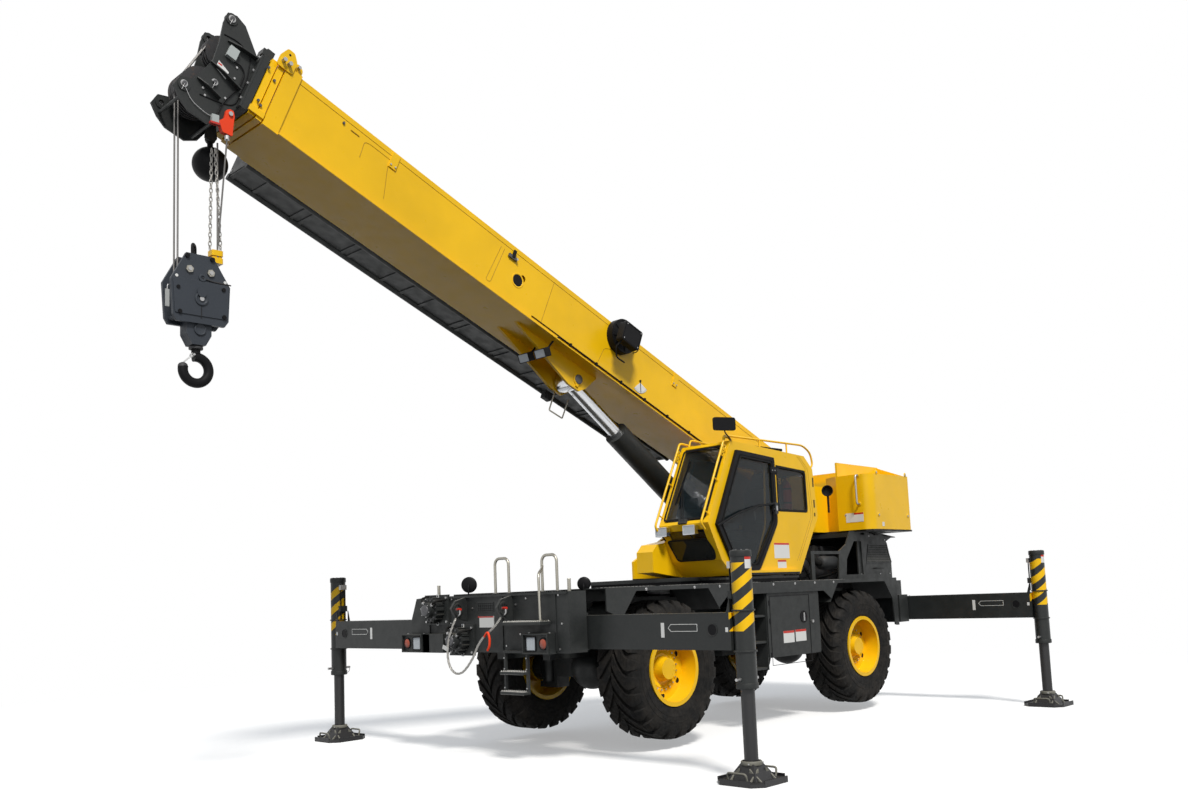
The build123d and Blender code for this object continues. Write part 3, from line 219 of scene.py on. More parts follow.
class Nodes:
    """A small helper round one material's node tree."""

    def __init__(self, name):
        self.mat = bpy.data.materials.new(name)
        self.mat.use_nodes = True
        self.tree = self.mat.node_tree
        self.shader = self.tree.nodes["Principled BSDF"]
        self.place = self.add("ShaderNodeTexCoord").outputs["Object"]

    def add(self, kind, **settings):
        node = self.tree.nodes.new(kind)
        for key, value in settings.items():
            setattr(node, key, value)
        return node

    def link(self, a, b):
        self.tree.links.new(a, b)

    def colour(self, source):
        self.link(source, self.shader.inputs["Base Color"])

    def rough(self, source):
        self.link(source, self.shader.inputs["Roughness"])

    def rough_noise(self, scale, detail, low, high):
        self.rough(self.remap(self.noise(scale, detail), 0.3, 0.7, low, high))

    def set(self, **sockets):
        for key, value in sockets.items():
            self.shader.inputs[key.replace("_", " ")].default_value = value

    def noise(self, scale, detail=3.0, rough=0.5, stretch=None):
        node = self.add("ShaderNodeTexNoise")
        node.inputs["Scale"].default_value = scale
        node.inputs["Detail"].default_value = detail
        node.inputs["Roughness"].default_value = rough
        source = self.place
        if stretch:
            mapping = self.add("ShaderNodeMapping")
            mapping.inputs["Scale"].default_value = stretch
            self.link(self.place, mapping.inputs["Vector"])
            source = mapping.outputs[0]
        self.link(source, node.inputs["Vector"])
        return node.outputs["Fac"]

    def math(self, operation, a, b=None):
        node = self.add("ShaderNodeMath", operation=operation)
        for socket, value in zip(node.inputs, (a, b)):
            if value is None:
                continue
            if isinstance(value, (int, float)):
                socket.default_value = value
            else:
                self.link(value, socket)
        return node.outputs[0]

    def remap(self, value, a, b, c, d):
        node = self.add("ShaderNodeMapRange")
        self.link(value, node.inputs["Value"])
        for key, number in zip(("From Min", "From Max", "To Min", "To Max"), (a, b, c, d)):
            node.inputs[key].default_value = number
        return node.outputs[0]

    def mix(self, fac, a, b):
        node = self.add("ShaderNodeMix", data_type="RGBA")
        for socket, value in ((node.inputs[0], fac), (node.inputs[6], a), (node.inputs[7], b)):
            if isinstance(value, tuple):
                socket.default_value = (*value, 1)
            elif isinstance(value, (int, float)):
                socket.default_value = value
            else:
                self.link(value, socket)
        return node.outputs[2]

    def xyz(self):
        node = self.add("ShaderNodeSeparateXYZ")
        self.link(self.place, node.inputs[0])
        return node.outputs

    def bump(self, height, strength, distance=0.002):
        node = self.add("ShaderNodeBump")
        node.inputs["Strength"].default_value = strength
        node.inputs["Distance"].default_value = distance
        self.link(height, node.inputs["Height"])
        self.link(node.outputs[0], self.shader.inputs["Normal"])

    def upward(self):
        """1 on faces that look up, 0 on the others: where dust settles."""
        geo = self.add("ShaderNodeNewGeometry")
        split = self.add("ShaderNodeSeparateXYZ")
        self.link(geo.outputs["Normal"], split.inputs[0])
        return self.remap(split.outputs[2], 0.55, 1.0, 0.0, 1.0)


def weathered(n, colour, dust=0.25, dust_colour=(0.30, 0.27, 0.22)):
    """Adds slow shade changes and settled dust to a colour."""
    cloud = n.remap(n.noise(1.7, 4), 0.3, 0.7, 0.0, 1.0)
    darker = tuple(c * 0.86 for c in colour) if isinstance(colour, tuple) else None
    base = n.mix(cloud, darker, colour) if darker else colour
    specks = n.remap(n.noise(38.0, 6, 0.7), 0.45, 0.75, 0.0, 1.0)
    film = n.math("MULTIPLY", n.upward(), n.remap(n.noise(4.0, 5), 0.35, 0.75, 0.2, 1.0))
    film = n.math("MULTIPLY", n.math("ADD", film, n.math("MULTIPLY", specks, 0.12)), dust)
    return n.mix(film, base, dust_colour)


def paint(name, colour, rough=0.32, dust=0.25, coat=0.35, shine=0.3):
    n = Nodes(name)
    n.colour(weathered(n, colour, dust))
    n.rough_noise(9.0, 4, rough * 0.8, rough * 1.3)
    n.set(Coat_Weight=coat, Coat_Roughness=0.12, Specular_IOR_Level=shine)
    n.bump(n.noise(240.0, 2), 0.06, 0.001)
    return n.mat


def masked_paint(n, mask, below, above, rough):
    """Paint of two colours: the mask says where the second one goes."""
    n.colour(weathered(n, n.mix(mask, below, above), 0.15))
    n.rough_noise(9.0, 4, *rough)
    n.set(Coat_Weight=0.0, Specular_IOR_Level=0.3)
    n.bump(n.noise(240.0, 2), 0.06, 0.001)
    return n.mat


def banded_paint(name, colour_a, colour_b, low, high, width):
    """Charcoal paint with slanted warning bands between two heights."""
    n = Nodes(name)
    x, y, z = n.xyz()
    slope = n.math("SUBTRACT", z, n.math("MULTIPLY", n.math("SUBTRACT", y, x), 0.55))
    wave = n.math("FRACT", n.math("DIVIDE", slope, width))
    band = n.math("GREATER_THAN", wave, 0.5)
    inside = n.math("MULTIPLY", n.math("GREATER_THAN", z, low), n.math("LESS_THAN", z, high))
    tube = n.math("GREATER_THAN", n.math("ABSOLUTE", y), abs(JACKS["fl"].y) - 0.094)
    mask = n.math("MULTIPLY", n.math("MULTIPLY", band, inside), tube)
    return masked_paint(n, mask, colour_a, colour_b, (0.3, 0.5))


def section_paint(name, dark_from):
    """Boom paint that turns charcoal past a place along the boom."""
    n = Nodes(name)
    x, _, z = n.xyz()
    u = n.math("ADD", n.math("MULTIPLY", x, ALONG.x), n.math("MULTIPLY", z, ALONG.z))
    start = PIVOT.dot(ALONG) + dark_from
    mask = n.math("GREATER_THAN", u, start)
    return masked_paint(n, mask, YELLOW, CHARCOAL, (0.26, 0.42))


def frame_paint(name, dark_below):
    """Yellow paint of the upper frame, charcoal on its base plate."""
    n = Nodes(name)
    mask = n.math("LESS_THAN", n.xyz()[2], dark_below)
    return masked_paint(n, mask, YELLOW, CHARCOAL, (0.26, 0.42))


def rubber(name, colour=(0.006, 0.006, 0.006), dust=0.20):
    n = Nodes(name)
    dirt = n.remap(n.noise(6.0, 6, 0.65), 0.40, 0.72, 0.0, 1.0)
    soil = n.mix(n.math("MULTIPLY", dirt, dust), colour, (0.10, 0.085, 0.07))
    n.colour(soil)
    n.rough_noise(30.0, 4, 0.62, 0.9)
    n.set(Specular_IOR_Level=0.15)
    n.bump(n.noise(160.0, 5, 0.7), 0.25, 0.002)
    return n.mat


def metal(name, colour, rough=0.25, brushed=(1, 1, 1), scratch=0.25, metallic=1.0):
    n = Nodes(name)
    streak = n.remap(n.noise(60.0, 5, 0.7, brushed), 0.35, 0.7, 0.0, 1.0)
    n.colour(n.mix(n.math("MULTIPLY", streak, scratch), colour, tuple(c * 0.55 for c in colour)))
    n.rough(n.remap(streak, 0.0, 1.0, rough, rough + 0.2))
    n.set(Metallic=metallic)
    n.bump(streak, 0.08, 0.0006)
    return n.mat


def cast(name, colour, rough=0.6):
    n = Nodes(name)
    rust = n.remap(n.noise(14.0, 8, 0.7), 0.55, 0.75, 0.0, 0.5)
    n.colour(n.mix(rust, colour, (0.14, 0.07, 0.035)))
    n.rough_noise(25.0, 4, rough * 0.8, rough * 1.2)
    n.set(Metallic=0.2, Specular_IOR_Level=0.4)
    n.bump(n.noise(220.0, 6, 0.8), 0.3, 0.0015)
    return n.mat


def glass(name, tint, alpha=0.45):
    n = Nodes(name)
    n.colour(n.mix(n.remap(n.noise(2.0, 4), 0.4, 0.7, 0.0, 0.35), tint, tuple(t * 1.8 + 0.02 for t in tint)))
    n.rough(n.remap(n.noise(5.0, 6, 0.6), 0.4, 0.8, 0.03, 0.12))
    n.set(Alpha=alpha, IOR=1.45, Specular_IOR_Level=0.40)
    return n.mat


def lens(name, colour, strength=0.15):
    n = Nodes(name)
    ribs = n.noise(90.0, 1, 0.2, (1, 6, 1))
    n.colour(n.mix(ribs, colour, tuple(min(1, c * 1.5 + 0.05) for c in colour)))
    n.set(Roughness=0.16, Coat_Weight=0.15, Specular_IOR_Level=0.3, Emission_Color=(*colour, 1),
          Emission_Strength=strength)
    n.bump(ribs, 0.3, 0.002)
    return n.mat


def fabric(name, colour):
    n = Nodes(name)
    weave = n.noise(420.0, 2, 0.5, (1, 1, 0.4))
    n.colour(n.mix(weave, tuple(c * 0.7 for c in colour), tuple(c * 1.3 for c in colour)))
    n.set(Roughness=0.85, Sheen_Weight=0.2)
    n.bump(weave, 0.4, 0.001)
    return n.mat


def grip_plate(name, colour):
    """Steel step with rows of raised teeth, the ground between them darkened as painted shade."""
    n = Nodes(name)
    spots = n.add("ShaderNodeTexVoronoi", feature="F1")
    spots.inputs["Scale"].default_value = 46.0
    n.link(n.place, spots.inputs["Vector"])
    tops = n.remap(spots.outputs["Distance"], 0.1, 0.5, 1.0, 0.0)
    # ground between the teeth at half brightness: painted shade in the recesses
    n.colour(n.mix(tops, tuple(c * 0.5 for c in colour), colour))
    n.set(Metallic=0.35, Roughness=0.42)
    n.bump(tops, 0.8, 0.004)
    return n.mat


def make_materials():
    return {
        "yellow": paint("yellow_paint", YELLOW, 0.34, 0.06, 0.12, 0.25),
        "charcoal": paint("charcoal_paint", CHARCOAL, 0.48, 0.22, 0.0, 0.3),
        "bands": banded_paint("banded_paint", CHARCOAL, YELLOW, 1.30, 1.90, 0.19),
        "section_2": section_paint("section_paint", UNUSED_FROM),
        "section_3": section_paint("section_paint_3", UNUSED_FROM),
        "section_4": section_paint("nose_paint", NOSE_DARK_FROM),
        "black": paint("black_paint", BLACK, 0.45, 0.04, 0.0, 0.10),
        "mesh_grey": paint("mesh_grey", (0.10, 0.10, 0.092), 0.6, 0.2, 0.0, 0.2),
        # hook block's dark grey with a bluish tint that stands for the sky's reflection: painted reflection
        "block_paint_with_painted_sky": paint("block_paint_with_painted_sky", (0.030, 0.036, 0.046), 0.5, 0.10, 0.0, 0.3),
        "dark_steel": metal("dark_steel", (0.09, 0.09, 0.095), 0.35, metallic=0.6),
        "rod_black": metal("rod_finish", (0.005, 0.005, 0.006), 0.42, (1, 1, 0.05), 0.3, 0.0),
        "frame_paint": frame_paint("frame_paint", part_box("turntable_frame")[0].z + 0.065),
        "chrome": metal("chrome_rod", (0.62, 0.63, 0.65), 0.09, (0.1, 1, 0.1), 0.2),
        "steel": metal("bare_steel", (0.42, 0.42, 0.42), 0.32),
        "zinc": metal("zinc_tube", (0.36, 0.345, 0.30), 0.3),
        "cast": cast("cast_iron", (0.030, 0.030, 0.032)),
        "float_paint": paint("float_paint", (0.150, 0.146, 0.124), 0.6, 0.35, 0.0, 0.3),
        "tyre": rubber("tyre_rubber"),
        "rubber": rubber("seal_rubber", (0.006, 0.006, 0.006), 0.05),
        "glass": glass("window_glass", (0.008, 0.014, 0.017), 0.55),
        "clear": lens("lamp_glass", (0.36, 0.39, 0.42), 0.0),
        "amber": lens("amber_glass", (0.26, 0.030, 0.004), 0.0),
        "red": paint("red_paint", (0.55, 0.025, 0.012), 0.4, 0.1),
        "orange": paint("orange_paint", (0.80, 0.055, 0.012), 0.45, 0.05, 0.0, 0.25),
        "cloth": fabric("seat_fabric", (0.035, 0.036, 0.04)),
        "plastic": paint("dark_plastic", (0.028, 0.030, 0.032), 0.55, 0.1, 0.0),
        "plate": paint("blank_plate", (0.70, 0.70, 0.68), 0.5, 0.05, 0.1),
        "grip": grip_plate("grip_steel", (0.52, 0.51, 0.48)),
        "rope": metal("wire_rope", (0.16, 0.155, 0.15), 0.4, metallic=0.7),
        "sling": metal("sling_wire", (0.34, 0.33, 0.31), 0.35, (1, 1, 1), 0.4, 0.8),
        "mirror": metal("mirror_glass", (0.60, 0.64, 0.66), 0.04, (1, 1, 1), 0.1, 0.95),
        "plate_dull": paint("dull_plate", (0.34, 0.35, 0.34), 0.5, 0.05, 0.0),
        "seam": paint("seam_line", (0.30, 0.16, 0.003), 0.5, 0.1, 0.0),
        "seam_dark": paint("seam_dark", (0.004, 0.004, 0.005), 0.6, 0.05, 0.0),
        "plastic_grey": paint("grey_plastic", (0.40, 0.43, 0.42), 0.45, 0.1, 0.1),
        "dark_glass": glass("dark_glass", (0.010, 0.012, 0.012), 0.93),
        "reflect": paint("reflector_strip", (0.78, 0.78, 0.76), 0.28, 0.08, 0.4),
    }


# ---- mesh pieces ------------------------------------------------------------------------------
class Piece:
    """One mesh, gathered from simple shapes in row coordinates, that rides on one body."""

    def __init__(self, name, body, slot=None, bevel=0.003):
        self.name, self.body, self.slot, self.bevel = name, body, slot, bevel
        self.points, self.faces, self.kinds, self.smooth = [], [], [], []
        self.mats = []

    def _add(self, points, faces, mat, smooth=False):
        if mat not in self.mats:
            self.mats.append(mat)
        base = len(self.points)
        self.points.extend(Vector(p) for p in points)
        for f in faces:
            self.faces.append([base + i for i in f])
            self.kinds.append(self.mats.index(mat))
            self.smooth.append(smooth)

    def box(self, low, high, mat):
        (x0, y0, z0), (x1, y1, z1) = low, high
        c = [(x, y, z) for z in (z0, z1) for y in (y0, y1) for x in (x0, x1)]
        self._add(c, [(0, 2, 3, 1), (4, 5, 7, 6), (0, 1, 5, 4), (2, 6, 7, 3), (0, 4, 6, 2), (1, 3, 7, 5)],
                  mat)

    def block(self, centre, half, axes, mat):
        """A box in any direction: half sizes along three unit axes."""
        a, b, d = (Vector(v) for v in axes)
        c = Vector(centre)
        pts = []
        for k in (-1, 1):
            for j in (-1, 1):
                for i in (-1, 1):
                    pts.append(c + a * (i * half[0]) + b * (j * half[1]) + d * (k * half[2]))
        self._add(pts, [(0, 2, 3, 1), (4, 5, 7, 6), (0, 1, 5, 4), (2, 6, 7, 3), (0, 4, 6, 2), (1, 3, 7, 5)],
                  mat)

    def ring_of(self, centre, axis, radius, count, mat, size=0.012, height=0.01, sides=6):
        """Bolt heads in a circle."""
        axis = Vector(axis).normalized()
        side = axis.orthogonal().normalized()
        other = axis.cross(side)
        for k in range(count):
            a = 2 * math.pi * k / count
            p = Vector(centre) + (side * math.cos(a) + other * math.sin(a)) * radius
            self.bar(p, p + axis * height, size, mat, sides)

    def bar(self, a, b, radius, mat, sides=14, end_radius=None):
        a, b = Vector(a), Vector(b)
        axis = (b - a).normalized()
        u = axis.orthogonal().normalized()
        v = axis.cross(u)
        r1 = radius if end_radius is None else end_radius
        pts = []
        for p, r in ((a, radius), (b, r1)):
            for k in range(sides):
                t = 2 * math.pi * k / sides
                pts.append(p + (u * math.cos(t) + v * math.sin(t)) * r)
        self._add(pts, [(k, (k + 1) % sides, sides + (k + 1) % sides, sides + k) for k in range(sides)], mat,
                  sides > 7)
        self._add(pts[:sides], [tuple(reversed(range(sides)))], mat)
        self._add(pts[sides:], [tuple(range(sides))], mat)

    def tube(self, points, radius, mat, bend=0.05, sides=10):
        """A round bar along a path whose corners are rounded."""
        path = rounded([Vector(p) for p in points], bend)
        rings = []
        side = None
        for i, p in enumerate(path):
            ahead = path[min(i + 1, len(path) - 1)] - path[max(i - 1, 0)]
            ahead.normalize()
            if side is None:
                side = ahead.orthogonal().normalized()
            side = (side - ahead * side.dot(ahead)).normalized()
            other = ahead.cross(side)
            rings.append([p + (side * math.cos(a) + other * math.sin(a)) * radius
                          for a in (2 * math.pi * k / sides for k in range(sides))])
        pts = [q for ring in rings for q in ring]
        faces = []
        for i in range(len(rings) - 1):
            for k in range(sides):
                a, b = i * sides + k, i * sides + (k + 1) % sides
                faces.append((a, b, b + sides, a + sides))
        self._add(pts, faces, mat, True)
        self._add(rings[0], [tuple(reversed(range(sides)))], mat)
        self._add(rings[-1], [tuple(range(sides))], mat)

    def turned(self, centre, axis, profile, mat, sides=40, smooth=True, closed=False):
        """A form turned about an axis: profile gives (distance along the axis, radius)."""
        axis = Vector(axis).normalized()
        u = axis.orthogonal().normalized()
        v = axis.cross(u)
        pts = []
        for d, r in profile:
            for k in range(sides):
                a = 2 * math.pi * k / sides
                pts.append(Vector(centre) + axis * d + (u * math.cos(a) + v * math.sin(a)) * r)
        rows = len(profile)
        faces = []
        for i in range(rows if closed else rows - 1):
            j = (i + 1) % rows
            for k in range(sides):
                q = (k + 1) % sides
                faces.append((i * sides + k, i * sides + q, j * sides + q, j * sides + k))
        self._add(pts, faces, mat, smooth)
        if not closed:
            self._add(pts[:sides], [tuple(reversed(range(sides)))], mat)
            self._add(pts[-sides:], [tuple(range(sides))], mat)

    def prism(self, outline, origin, axes, depth, mat, smooth=False):
        """An outline in the plane of the first two axes, thickened along the third."""
        a, b, d = (Vector(v) for v in axes)
        o = Vector(origin)
        pts = [o + a * p + b * q for p, q in outline] + [o + a * p + b * q + d * depth for p, q in outline]
        n = len(outline)
        faces = [tuple(reversed(range(n))), tuple(range(n, 2 * n))]
        faces += [(k, (k + 1) % n, n + (k + 1) % n, n + k) for k in range(n)]
        self._add(pts, faces, mat, smooth)

    def frame(self, outline, width, origin, axes, depth, mat):
        """A border strip of even width inside an outline."""
        inner = shrunk(outline, width)
        a, b, d = (Vector(v) for v in axes)
        o = Vector(origin)
        n = len(outline)
        pts = []
        for lift in (0, depth):
            for ring in (outline, inner):
                pts += [o + a * p + b * q + d * lift for p, q in ring]
        faces = []
        for k in range(n):
            q = (k + 1) % n
            faces += [(k, q, n + q, n + k), (2 * n + k, 3 * n + k, 3 * n + q, 2 * n + q)]
            faces += [(k, 2 * n + k, 2 * n + q, q), (n + k, n + q, 3 * n + q, 3 * n + k)]
        self._add(pts, faces, mat)

    def done(self):
        mesh = bpy.data.meshes.new(self.name)
        mesh.from_pydata([tuple(p) for p in self.points], [], self.faces)
        for m in self.mats:
            mesh.materials.append(MATS[m])
        mesh.polygons.foreach_set("material_index", self.kinds)
        mesh.polygons.foreach_set("use_smooth", self.smooth)
        mesh.validate()
        obj = bpy.data.objects.new(self.name, mesh)
        bpy.context.scene.collection.objects.link(obj)
        if self.bevel:
            mod = obj.modifiers.new("edges", "BEVEL")
            mod.width = self.bevel
            mod.segments = 2
            mod.limit_method = "ANGLE"
            mod.angle_limit = math.radians(50)
            mod.harden_normals = False
        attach(obj, self.body)
        return obj


def rounded(points, bend, steps=5):
    """The path with each inner corner replaced by a short curve."""
    path = [points[0]]
    for before, corner, after in zip(points, points[1:], points[2:]):
        a, b = before - corner, after - corner
        cut = min(bend, a.length * 0.45, b.length * 0.45)
        p, q = corner + a.normalized() * cut, corner + b.normalized() * cut
        for k in range(steps + 1):
            t = k / steps
            path.append(p * (1 - t) ** 2 + corner * 2 * t * (1 - t) + q * t**2)
    path.append(points[-1])
    return path


def shrunk(outline, width):
    """A closed outline moved inwards by an even width (given counter-clockwise or clockwise)."""
    pts = [Vector((p, q)) for p, q in outline]
    area = sum(a.x * b.y - b.x * a.y for a, b in zip(pts, pts[1:] + pts[:1]))
    turn = 1 if area > 0 else -1
    out = []
    for i, p in enumerate(pts):
        a, b = (p - pts[i - 1]).normalized(), (pts[(i + 1) % len(pts)] - p).normalized()
        na, nb = Vector((-a.y, a.x)) * turn, Vector((-b.y, b.x)) * turn
        m = (na + nb).normalized()
        out.append(p + m * (width / max(0.3, m.dot(na))))
    return [(p.x, p.y) for p in out]


def round_corners(outline, radius, steps=4):
    """A closed outline whose corners are rounded."""
    pts = [Vector((p, q)) for p, q in outline]
    out = []
    for i, c in enumerate(pts):
        a, b = pts[i - 1] - c, pts[(i + 1) % len(pts)] - c
        cut = min(radius, a.length * 0.45, b.length * 0.45)
        p, q = c + a.normalized() * cut, c + b.normalized() * cut
        for k in range(steps + 1):
            t = k / steps
            r = p * (1 - t) ** 2 + c * 2 * t * (1 - t) + q * t**2
            out.append((r.x, r.y))
    return out


def rounded_box(half_a, half_b, radius):
    return round_corners([(-half_a, -half_b), (half_a, -half_b), (half_a, half_b), (-half_a, half_b)], radius)


X, Y, Z = Vector((1, 0, 0)), Vector((0, 1, 0)), Vector((0, 0, 1))


def M(x, y, z):
    """A point measured from the rear axle's middle, on the ground."""
    return Vector((REAR_X + x, y, z))


# ---- wheels -----------------------------------------------------------------------------------
LUGS = 24
# column names: distance from the tyre's middle, outside radius, radius at the lug's root
LUG_ROWS = (
    (0.004, 0.744, 0.712),
    (0.05, 0.7445, 0.712),
    (0.10, 0.7445, 0.712),
    (0.145, 0.743, 0.710),
    (0.185, 0.739, 0.704),
    (0.218, 0.728, 0.690),
    (0.244, 0.703, 0.664),
    (0.259, 0.668, 0.628),
    (0.2655, 0.630, 0.606),
)
CARCASS = (
    (-0.221, 0.379), (-0.232, 0.400), (-0.240, 0.425), (-0.252, 0.470), (-0.262, 0.530), (-0.2655, 0.585),
    (-0.2630, 0.622), (-0.252, 0.655), (-0.236, 0.680), (-0.205, 0.700), (-0.15, 0.711), (0.0, 0.715),
    (0.15, 0.711), (0.205, 0.700), (0.236, 0.680), (0.252, 0.655), (0.2630, 0.622), (0.2655, 0.585),
    (0.262, 0.530), (0.252, 0.470), (0.240, 0.425), (0.232, 0.400), (0.211, 0.379),
)


def tread(corner):
    """Carcass turned about the axle, with slanted lugs that run over the shoulders."""
    piece = Piece("tread_" + corner, "wheel_" + corner, "tyre_rubber", bevel=0)
    mid = WHEEL[corner]
    piece.turned(mid, Y, CARCASS, "tyre", 96, closed=True)
    side = 1 if mid.y > 0 else -1
    for ring_at in (0.500, 0.560):
        for s in (-1, 1):
            y = 0.2555 if ring_at < 0.53 else 0.2632
            piece.turned(mid, Y, [(s * (y - 0.006), ring_at - 0.008), (s * (y + 0.004), ring_at - 0.004),
                                  (s * (y + 0.004), ring_at + 0.004), (s * (y - 0.006), ring_at + 0.008)],
                         "tyre", 72, closed=True)
    pitch = 2 * math.pi / LUGS
    for half in (-1, 1):
        for k in range(LUGS):
            start = (k + (0.5 if half > 0 else 0.0)) * pitch
            rows = []
            for i, (d, top, root) in enumerate(LUG_ROWS):
                t = i / (len(LUG_ROWS) - 1)
                turn = start + side * 0.34 * (1 - min(1.0, d / 0.20)) ** 1.3
                wide = pitch * (0.30 + 0.05 * t) if i < 6 else pitch * (0.34 - 0.04 * (i - 5))
                y = half * d
                for r, w in ((root, wide * 1.12), (top, wide), (top, -wide), (root, -wide * 1.12)):
                    a = turn + w * 0.98
                    rows.append(mid + Vector((r * math.cos(a), y, r * math.sin(a))))
            faces = []
            n = len(LUG_ROWS)
            for i in range(n - 1):
                for c in range(3):
                    a = i * 4 + c
                    faces.append((a, a + 1, a + 5, a + 4))
            faces += [(0, 3, 2, 1), tuple((n - 1) * 4 + c for c in range(4))]
            if half < 0:
                faces = [tuple(reversed(f)) for f in faces]
            piece._add(rows, faces, "tyre")
    obj = piece.done()
    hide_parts("tyre_" + corner)


def hub_details(corner):
    """Nuts, hub end, hand holes and bead ring of one rim; the hand holes are black discs of painted shade."""
    mid = WHEEL[corner]
    s = 1 if mid.y > 0 else -1
    piece = Piece("hub_details_" + corner, "wheel_" + corner, "rim_paint", bevel=0.002)
    out = Y * s
    face = mid + out * 0.0465
    piece.ring_of(face, out, 0.225, 20, "yellow", 0.017, 0.020)
    piece.ring_of(face, out, 0.225, 20, "steel", 0.009, 0.030, 8)
    piece.turned(mid, out, [(0.052, 0.200), (0.066, 0.196), (0.066, 0.168), (0.052, 0.164)], "yellow", 48,
                 closed=True)
    piece.ring_of(mid + out * 0.156, out, 0.082, 10, "yellow", 0.009, 0.006)
    piece.turned(mid, out, [(0.150, 0.0), (0.159, 0.0), (0.159, 0.050), (0.154, 0.056), (0.150, 0.056)],
                 "yellow", 32)
    piece.turned(mid, out, [(0.232, 0.352), (0.2445, 0.356), (0.2445, 0.392), (0.236, 0.3945),
                            (0.226, 0.390)],
                 "yellow", 72, closed=True)
    # hand holes drawn as thin black discs: painted shade for their openings
    for k in range(6):
        a = 2 * math.pi * (k + 0.5) / 6
        p = mid + out * 0.050 + Vector((math.cos(a), 0, math.sin(a))) * 0.288
        piece.bar(p, p + out * 0.0035, 0.030, "black", 20)
    valve = mid + Vector((0.33, 0, 0.05)) + out * 0.12
    piece.bar(valve, valve + out * 0.055, 0.006, "steel", 8)
    piece.done()


# ---- outriggers -------------------------------------------------------------------------------
def jack_details(corner):
    """Collars, gussets, lines, pin and bare marks of one outrigger's beam and jack tube."""
    p = JACKS[corner]
    s = 1 if p.y > 0 else -1
    piece = Piece("jack_details_" + corner, "outrigger_" + corner, "grey_paint")
    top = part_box("outrigger_beam_" + corner)[1].z
    inner = p - Y * s * 0.098
    piece.turned(p, Z, [(top - 0.060, 0.086), (top - 0.058, 0.0985), (top - 0.008, 0.0985),
                        (top - 0.002, 0.090)],
                 "charcoal", 40, closed=True)
    piece.ring_of(p + Z * (top - 0.002), Z, 0.066, 8, "steel", 0.009, 0.006)
    for z in (1.475, 1.118):
        piece.turned(p, Z, [(z, 0.090), (z, 0.104), (z + 0.014, 0.104), (z + 0.014, 0.090)], "charcoal", 40,
                     closed=True)
    piece.turned(p, Z, [(0.803, 0.088), (0.803, 0.100), (0.850, 0.100), (0.850, 0.088)], "charcoal", 40,
                 closed=True)
    # gussets between beam and tube
    for dx in (-0.088, 0.076):
        piece.prism([(0.0, 0.0), (0.040, 0.0), (0.040, 0.13)], p + Vector((dx, -s * 0.130, 1.462)),
                    (Y * s, Z, X), 0.012, "charcoal")
    # pressure line to the head of the jack
    line = [inner + Z * 1.49 - Y * s * 0.008, inner + Z * 1.60 - Y * s * 0.008,
            inner + Z * 1.86 - Y * s * 0.008, inner + Z * 1.90 + Y * s * 0.02]
    for dx in (-0.028, 0.028):
        piece.tube([q + X * dx for q in line], 0.0085, "rubber", 0.04, 8)
    if s > 0:
        for z, tall, mat in ((top - 0.125, 0.040, "plate"), (top - 0.073, 0.012, "red")):
            for k in range(5):
                a = math.radians(62 + 9 * k)
                d = Vector((math.cos(a), math.sin(a), 0))
                piece.block(p + d * 0.0925 + Z * z, (0.0010, 0.0074, tall), (d, Z.cross(d), Z), mat)
    piece.block(inner + Z * 1.62 - Y * s * 0.008, (0.05, 0.022, 0.035), (X, Y, Z), "charcoal")
    piece.block(inner + Z * 1.885 - Y * s * 0.010, (0.045, 0.018, 0.030), (X, Y, Z), "steel")
    pin = p + Z * 0.885
    piece.bar(pin - X * 0.155, pin + X * 0.155, 0.014, "steel", 14)
    piece.tube([pin - X * 0.15, pin - X * 0.15 - Z * 0.05, pin - X * 0.11 - Z * 0.07], 0.004, "steel", 0.02,
               6)
    # beam: bare label, reflectors and pin hole; the pin hole is a black disc of painted shade
    for face in (-1, 1):
        x = p.x + face * 0.0955
        y = p.y - s * 0.284
        piece.turned(Vector((x, y, 1.315)), X * face,
                     [(0, 0.055), (0.005, 0.058), (0.005, 0.050), (0, 0.048)], "charcoal", 28, closed=True)
        # the hole's inside: a black disc of painted shade
        piece.bar(Vector((x, y, 1.315)), Vector((x + face * 0.002, y, 1.315)), 0.049, "black", 28)
        for low, high, h in ((-0.890, -0.850, 0.068), (-0.136, -0.106, 0.020)):
            y0, y1 = sorted((p.y + s * low, p.y + s * high))
            x0, x1 = sorted((x, x + face * 0.0025))
            piece.box((x0, y0, 1.315 - h), (x1, y1, 1.315 + h), "reflect")
        outline = [(-0.185, 0.0), (-0.150, -0.034), (0.165, -0.034), (0.165, 0.034), (-0.150, 0.034)]
        piece.frame(outline, 0.005, Vector((x, p.y - s * 0.620, 1.335)), (Y * s, Z, X * face), 0.002,
                    "reflect")
    piece.done()


